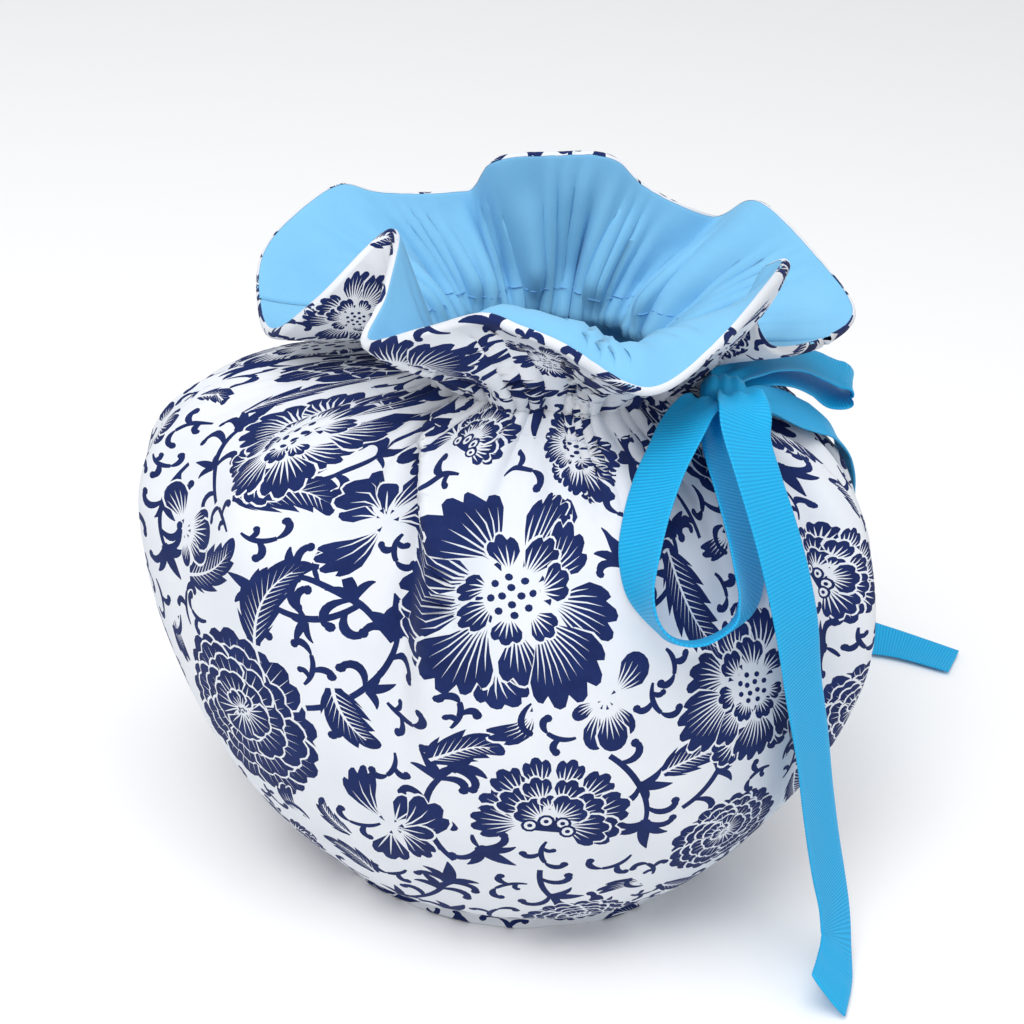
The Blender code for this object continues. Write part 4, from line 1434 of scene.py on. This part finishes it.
def woven_ribbon():
    made, nodes = new_material("woven_ribbon_cloth", 0.5, 0.08, 0.35)
    nodes.shader.inputs["Specular IOR Level"].default_value = 0.25
    ribs = flat_coordinates(nodes, FLAT_SCALE / RIB_PITCH)
    split = nodes.add("ShaderNodeSeparateXYZ")
    nodes.join(ribs, split.inputs[0])
    wave = nodes.math("SINE", nodes.math("MULTIPLY", split.outputs[1], TAU))
    wave = nodes.math("ADD", nodes.math("MULTIPLY", wave, 0.5), 0.5)
    fine = flat_coordinates(nodes, FLAT_SCALE / 0.3)
    grain = slow_noise(nodes, fine, 1.0)
    # Painted shade: the rib wave mixes the grooves towards a darker blue and the rib tops towards the
    # ribbon's blues
    top = nodes.math("ADD", nodes.math("MULTIPLY", wave, 0.6), 0.4)
    colour = nodes.mix(top, RIBBON_GROOVE_PAINTED_SHADE, nodes.mix(grain, *RIBBON_BLUES))
    nodes.join(colour, nodes.shader.inputs["Base Color"])
    add_bump(nodes, grain, 0.25)
    return made


def sewing_thread(name, colour):
    made, nodes = new_material(name, 0.6, 0.2, 0.4)
    coordinates = nodes.add("ShaderNodeTexCoord").outputs["Object"]
    twist = nodes.add("ShaderNodeTexNoise", {"Vector": coordinates, "Scale": 3000.0})
    darker = tuple(0.8 * value for value in colour)
    colours = nodes.mix(twist.outputs["Fac"], (*colour, 1), (*darker, 1))
    nodes.join(colours, nodes.shader.inputs["Base Color"])
    return made


# The stage


def make_stage():
    bpy.ops.mesh.primitive_plane_add(size=6, location=(0, 0, -0.0004))
    floor = bpy.context.object
    floor.name = "floor"
    made, nodes = new_material("floor_paint", 0.9)
    nodes.shader.inputs["Base Color"].default_value = (0.96, 0.96, 0.96, 1)
    floor.data.materials.append(made)
    world = bpy.data.worlds.new("studio")
    bpy.context.scene.world = world
    world.use_nodes = True
    world.node_tree.nodes["Background"].inputs[0].default_value = (0.97, 0.98, 1.0, 1)
    world.node_tree.nodes["Background"].inputs[1].default_value = 0.66
    area_light("key", (-0.45, -0.75, 1.2), 0.7, 8)
    area_light("fill", (0.9, -0.8, 0.6), 0.8, 1.5)
    area_light("top", (0.0, -0.35, 1.4), 0.9, 6)


def area_light(name, at, size, power):
    light = bpy.data.lights.new(name, "AREA")
    light.size = size
    light.energy = power
    lamp = bpy.data.objects.new(name, light)
    lamp.location = at
    lamp.rotation_euler = (Vector((0, 0, 0.08)) - Vector(at)).to_track_quat("-Z", "Y").to_euler()
    bpy.context.scene.collection.objects.link(lamp)


# The camera's distance in metres, and where the cosy's middle shows in the photograph
DISTANCE = 0.620
PHOTO_SIZE = 1024
METRES_PER_PIXEL = 0.00027
MIDDLE_AT = (531, 594)
SENSOR = 36


def make_camera():
    """The photograph's camera: 29 degrees above the table, rolled 5 degrees."""
    elevation, roll = math.radians(29), math.radians(5)
    target = Vector(placed([0, 0, 72]).tolist())
    data = bpy.data.cameras.new("camera")
    camera = bpy.data.objects.new("camera", data)
    bpy.context.scene.collection.objects.link(camera)
    data.sensor_width = SENSOR
    data.lens = DISTANCE / METRES_PER_PIXEL * SENSOR / PHOTO_SIZE
    back = Vector((0, -math.cos(elevation), math.sin(elevation)))
    up = Vector((0, math.sin(elevation), math.cos(elevation)))
    right = Vector((1, 0, 0))
    up_rolled = up * math.cos(roll) - right * math.sin(roll)
    right_rolled = right * math.cos(roll) + up * math.sin(roll)
    matrix = Matrix((right_rolled, up_rolled, back)).transposed().to_4x4()
    matrix.translation = target + back * DISTANCE
    camera.matrix_world = matrix
    data.shift_x = (PHOTO_SIZE / 2 - MIDDLE_AT[0]) / PHOTO_SIZE
    data.shift_y = (MIDDLE_AT[1] - PHOTO_SIZE / 2) / PHOTO_SIZE
    data.dof.use_dof = False
    bpy.context.scene.camera = camera


def build_cloth():
    cut = printed_flat()
    cotton, lining = printed_cotton(), plain_cotton()
    thread = sewing_thread("white_thread", (0.75, 0.80, 0.88))
    blue_thread = sewing_thread("blue_thread", (0.20, 0.48, 0.82))
    for name, first_share in (("front", 0.0), ("back", 0.5)):
        panel = printed_panel("printed_" + name, first_share, cut, cotton)
        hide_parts("panel_" + name)
        inner = lining_panel("lined_" + name, first_share, lining)
        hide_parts("lining_" + name)
        for number, v in enumerate((NECK_V + 7.0, NECK_V - 8.0)):
            line = np.stack([np.arange(-138, 138, 1.0), np.full(276, v)], 1)
            for side, outside, material in (("out", True, thread), ("in", False, blue_thread)):
                row = stitch_row(
                    f"casing_stitches_{name}_{side}_{number}", line, first_share, outside, material
                )


def build_ribbon():
    material = woven_ribbon()
    knot = ribbon_knot(material)
    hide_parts("ribbon_knot")
    for name in RIBBON_RUNS:
        run, length = ribbon_run(name, material)
        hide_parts(name)


def main():
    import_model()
    bpy.context.scene.view_settings.view_transform = "Standard"
    make_camera()
    make_stage()
    build_cloth()
    build_ribbon()


main()
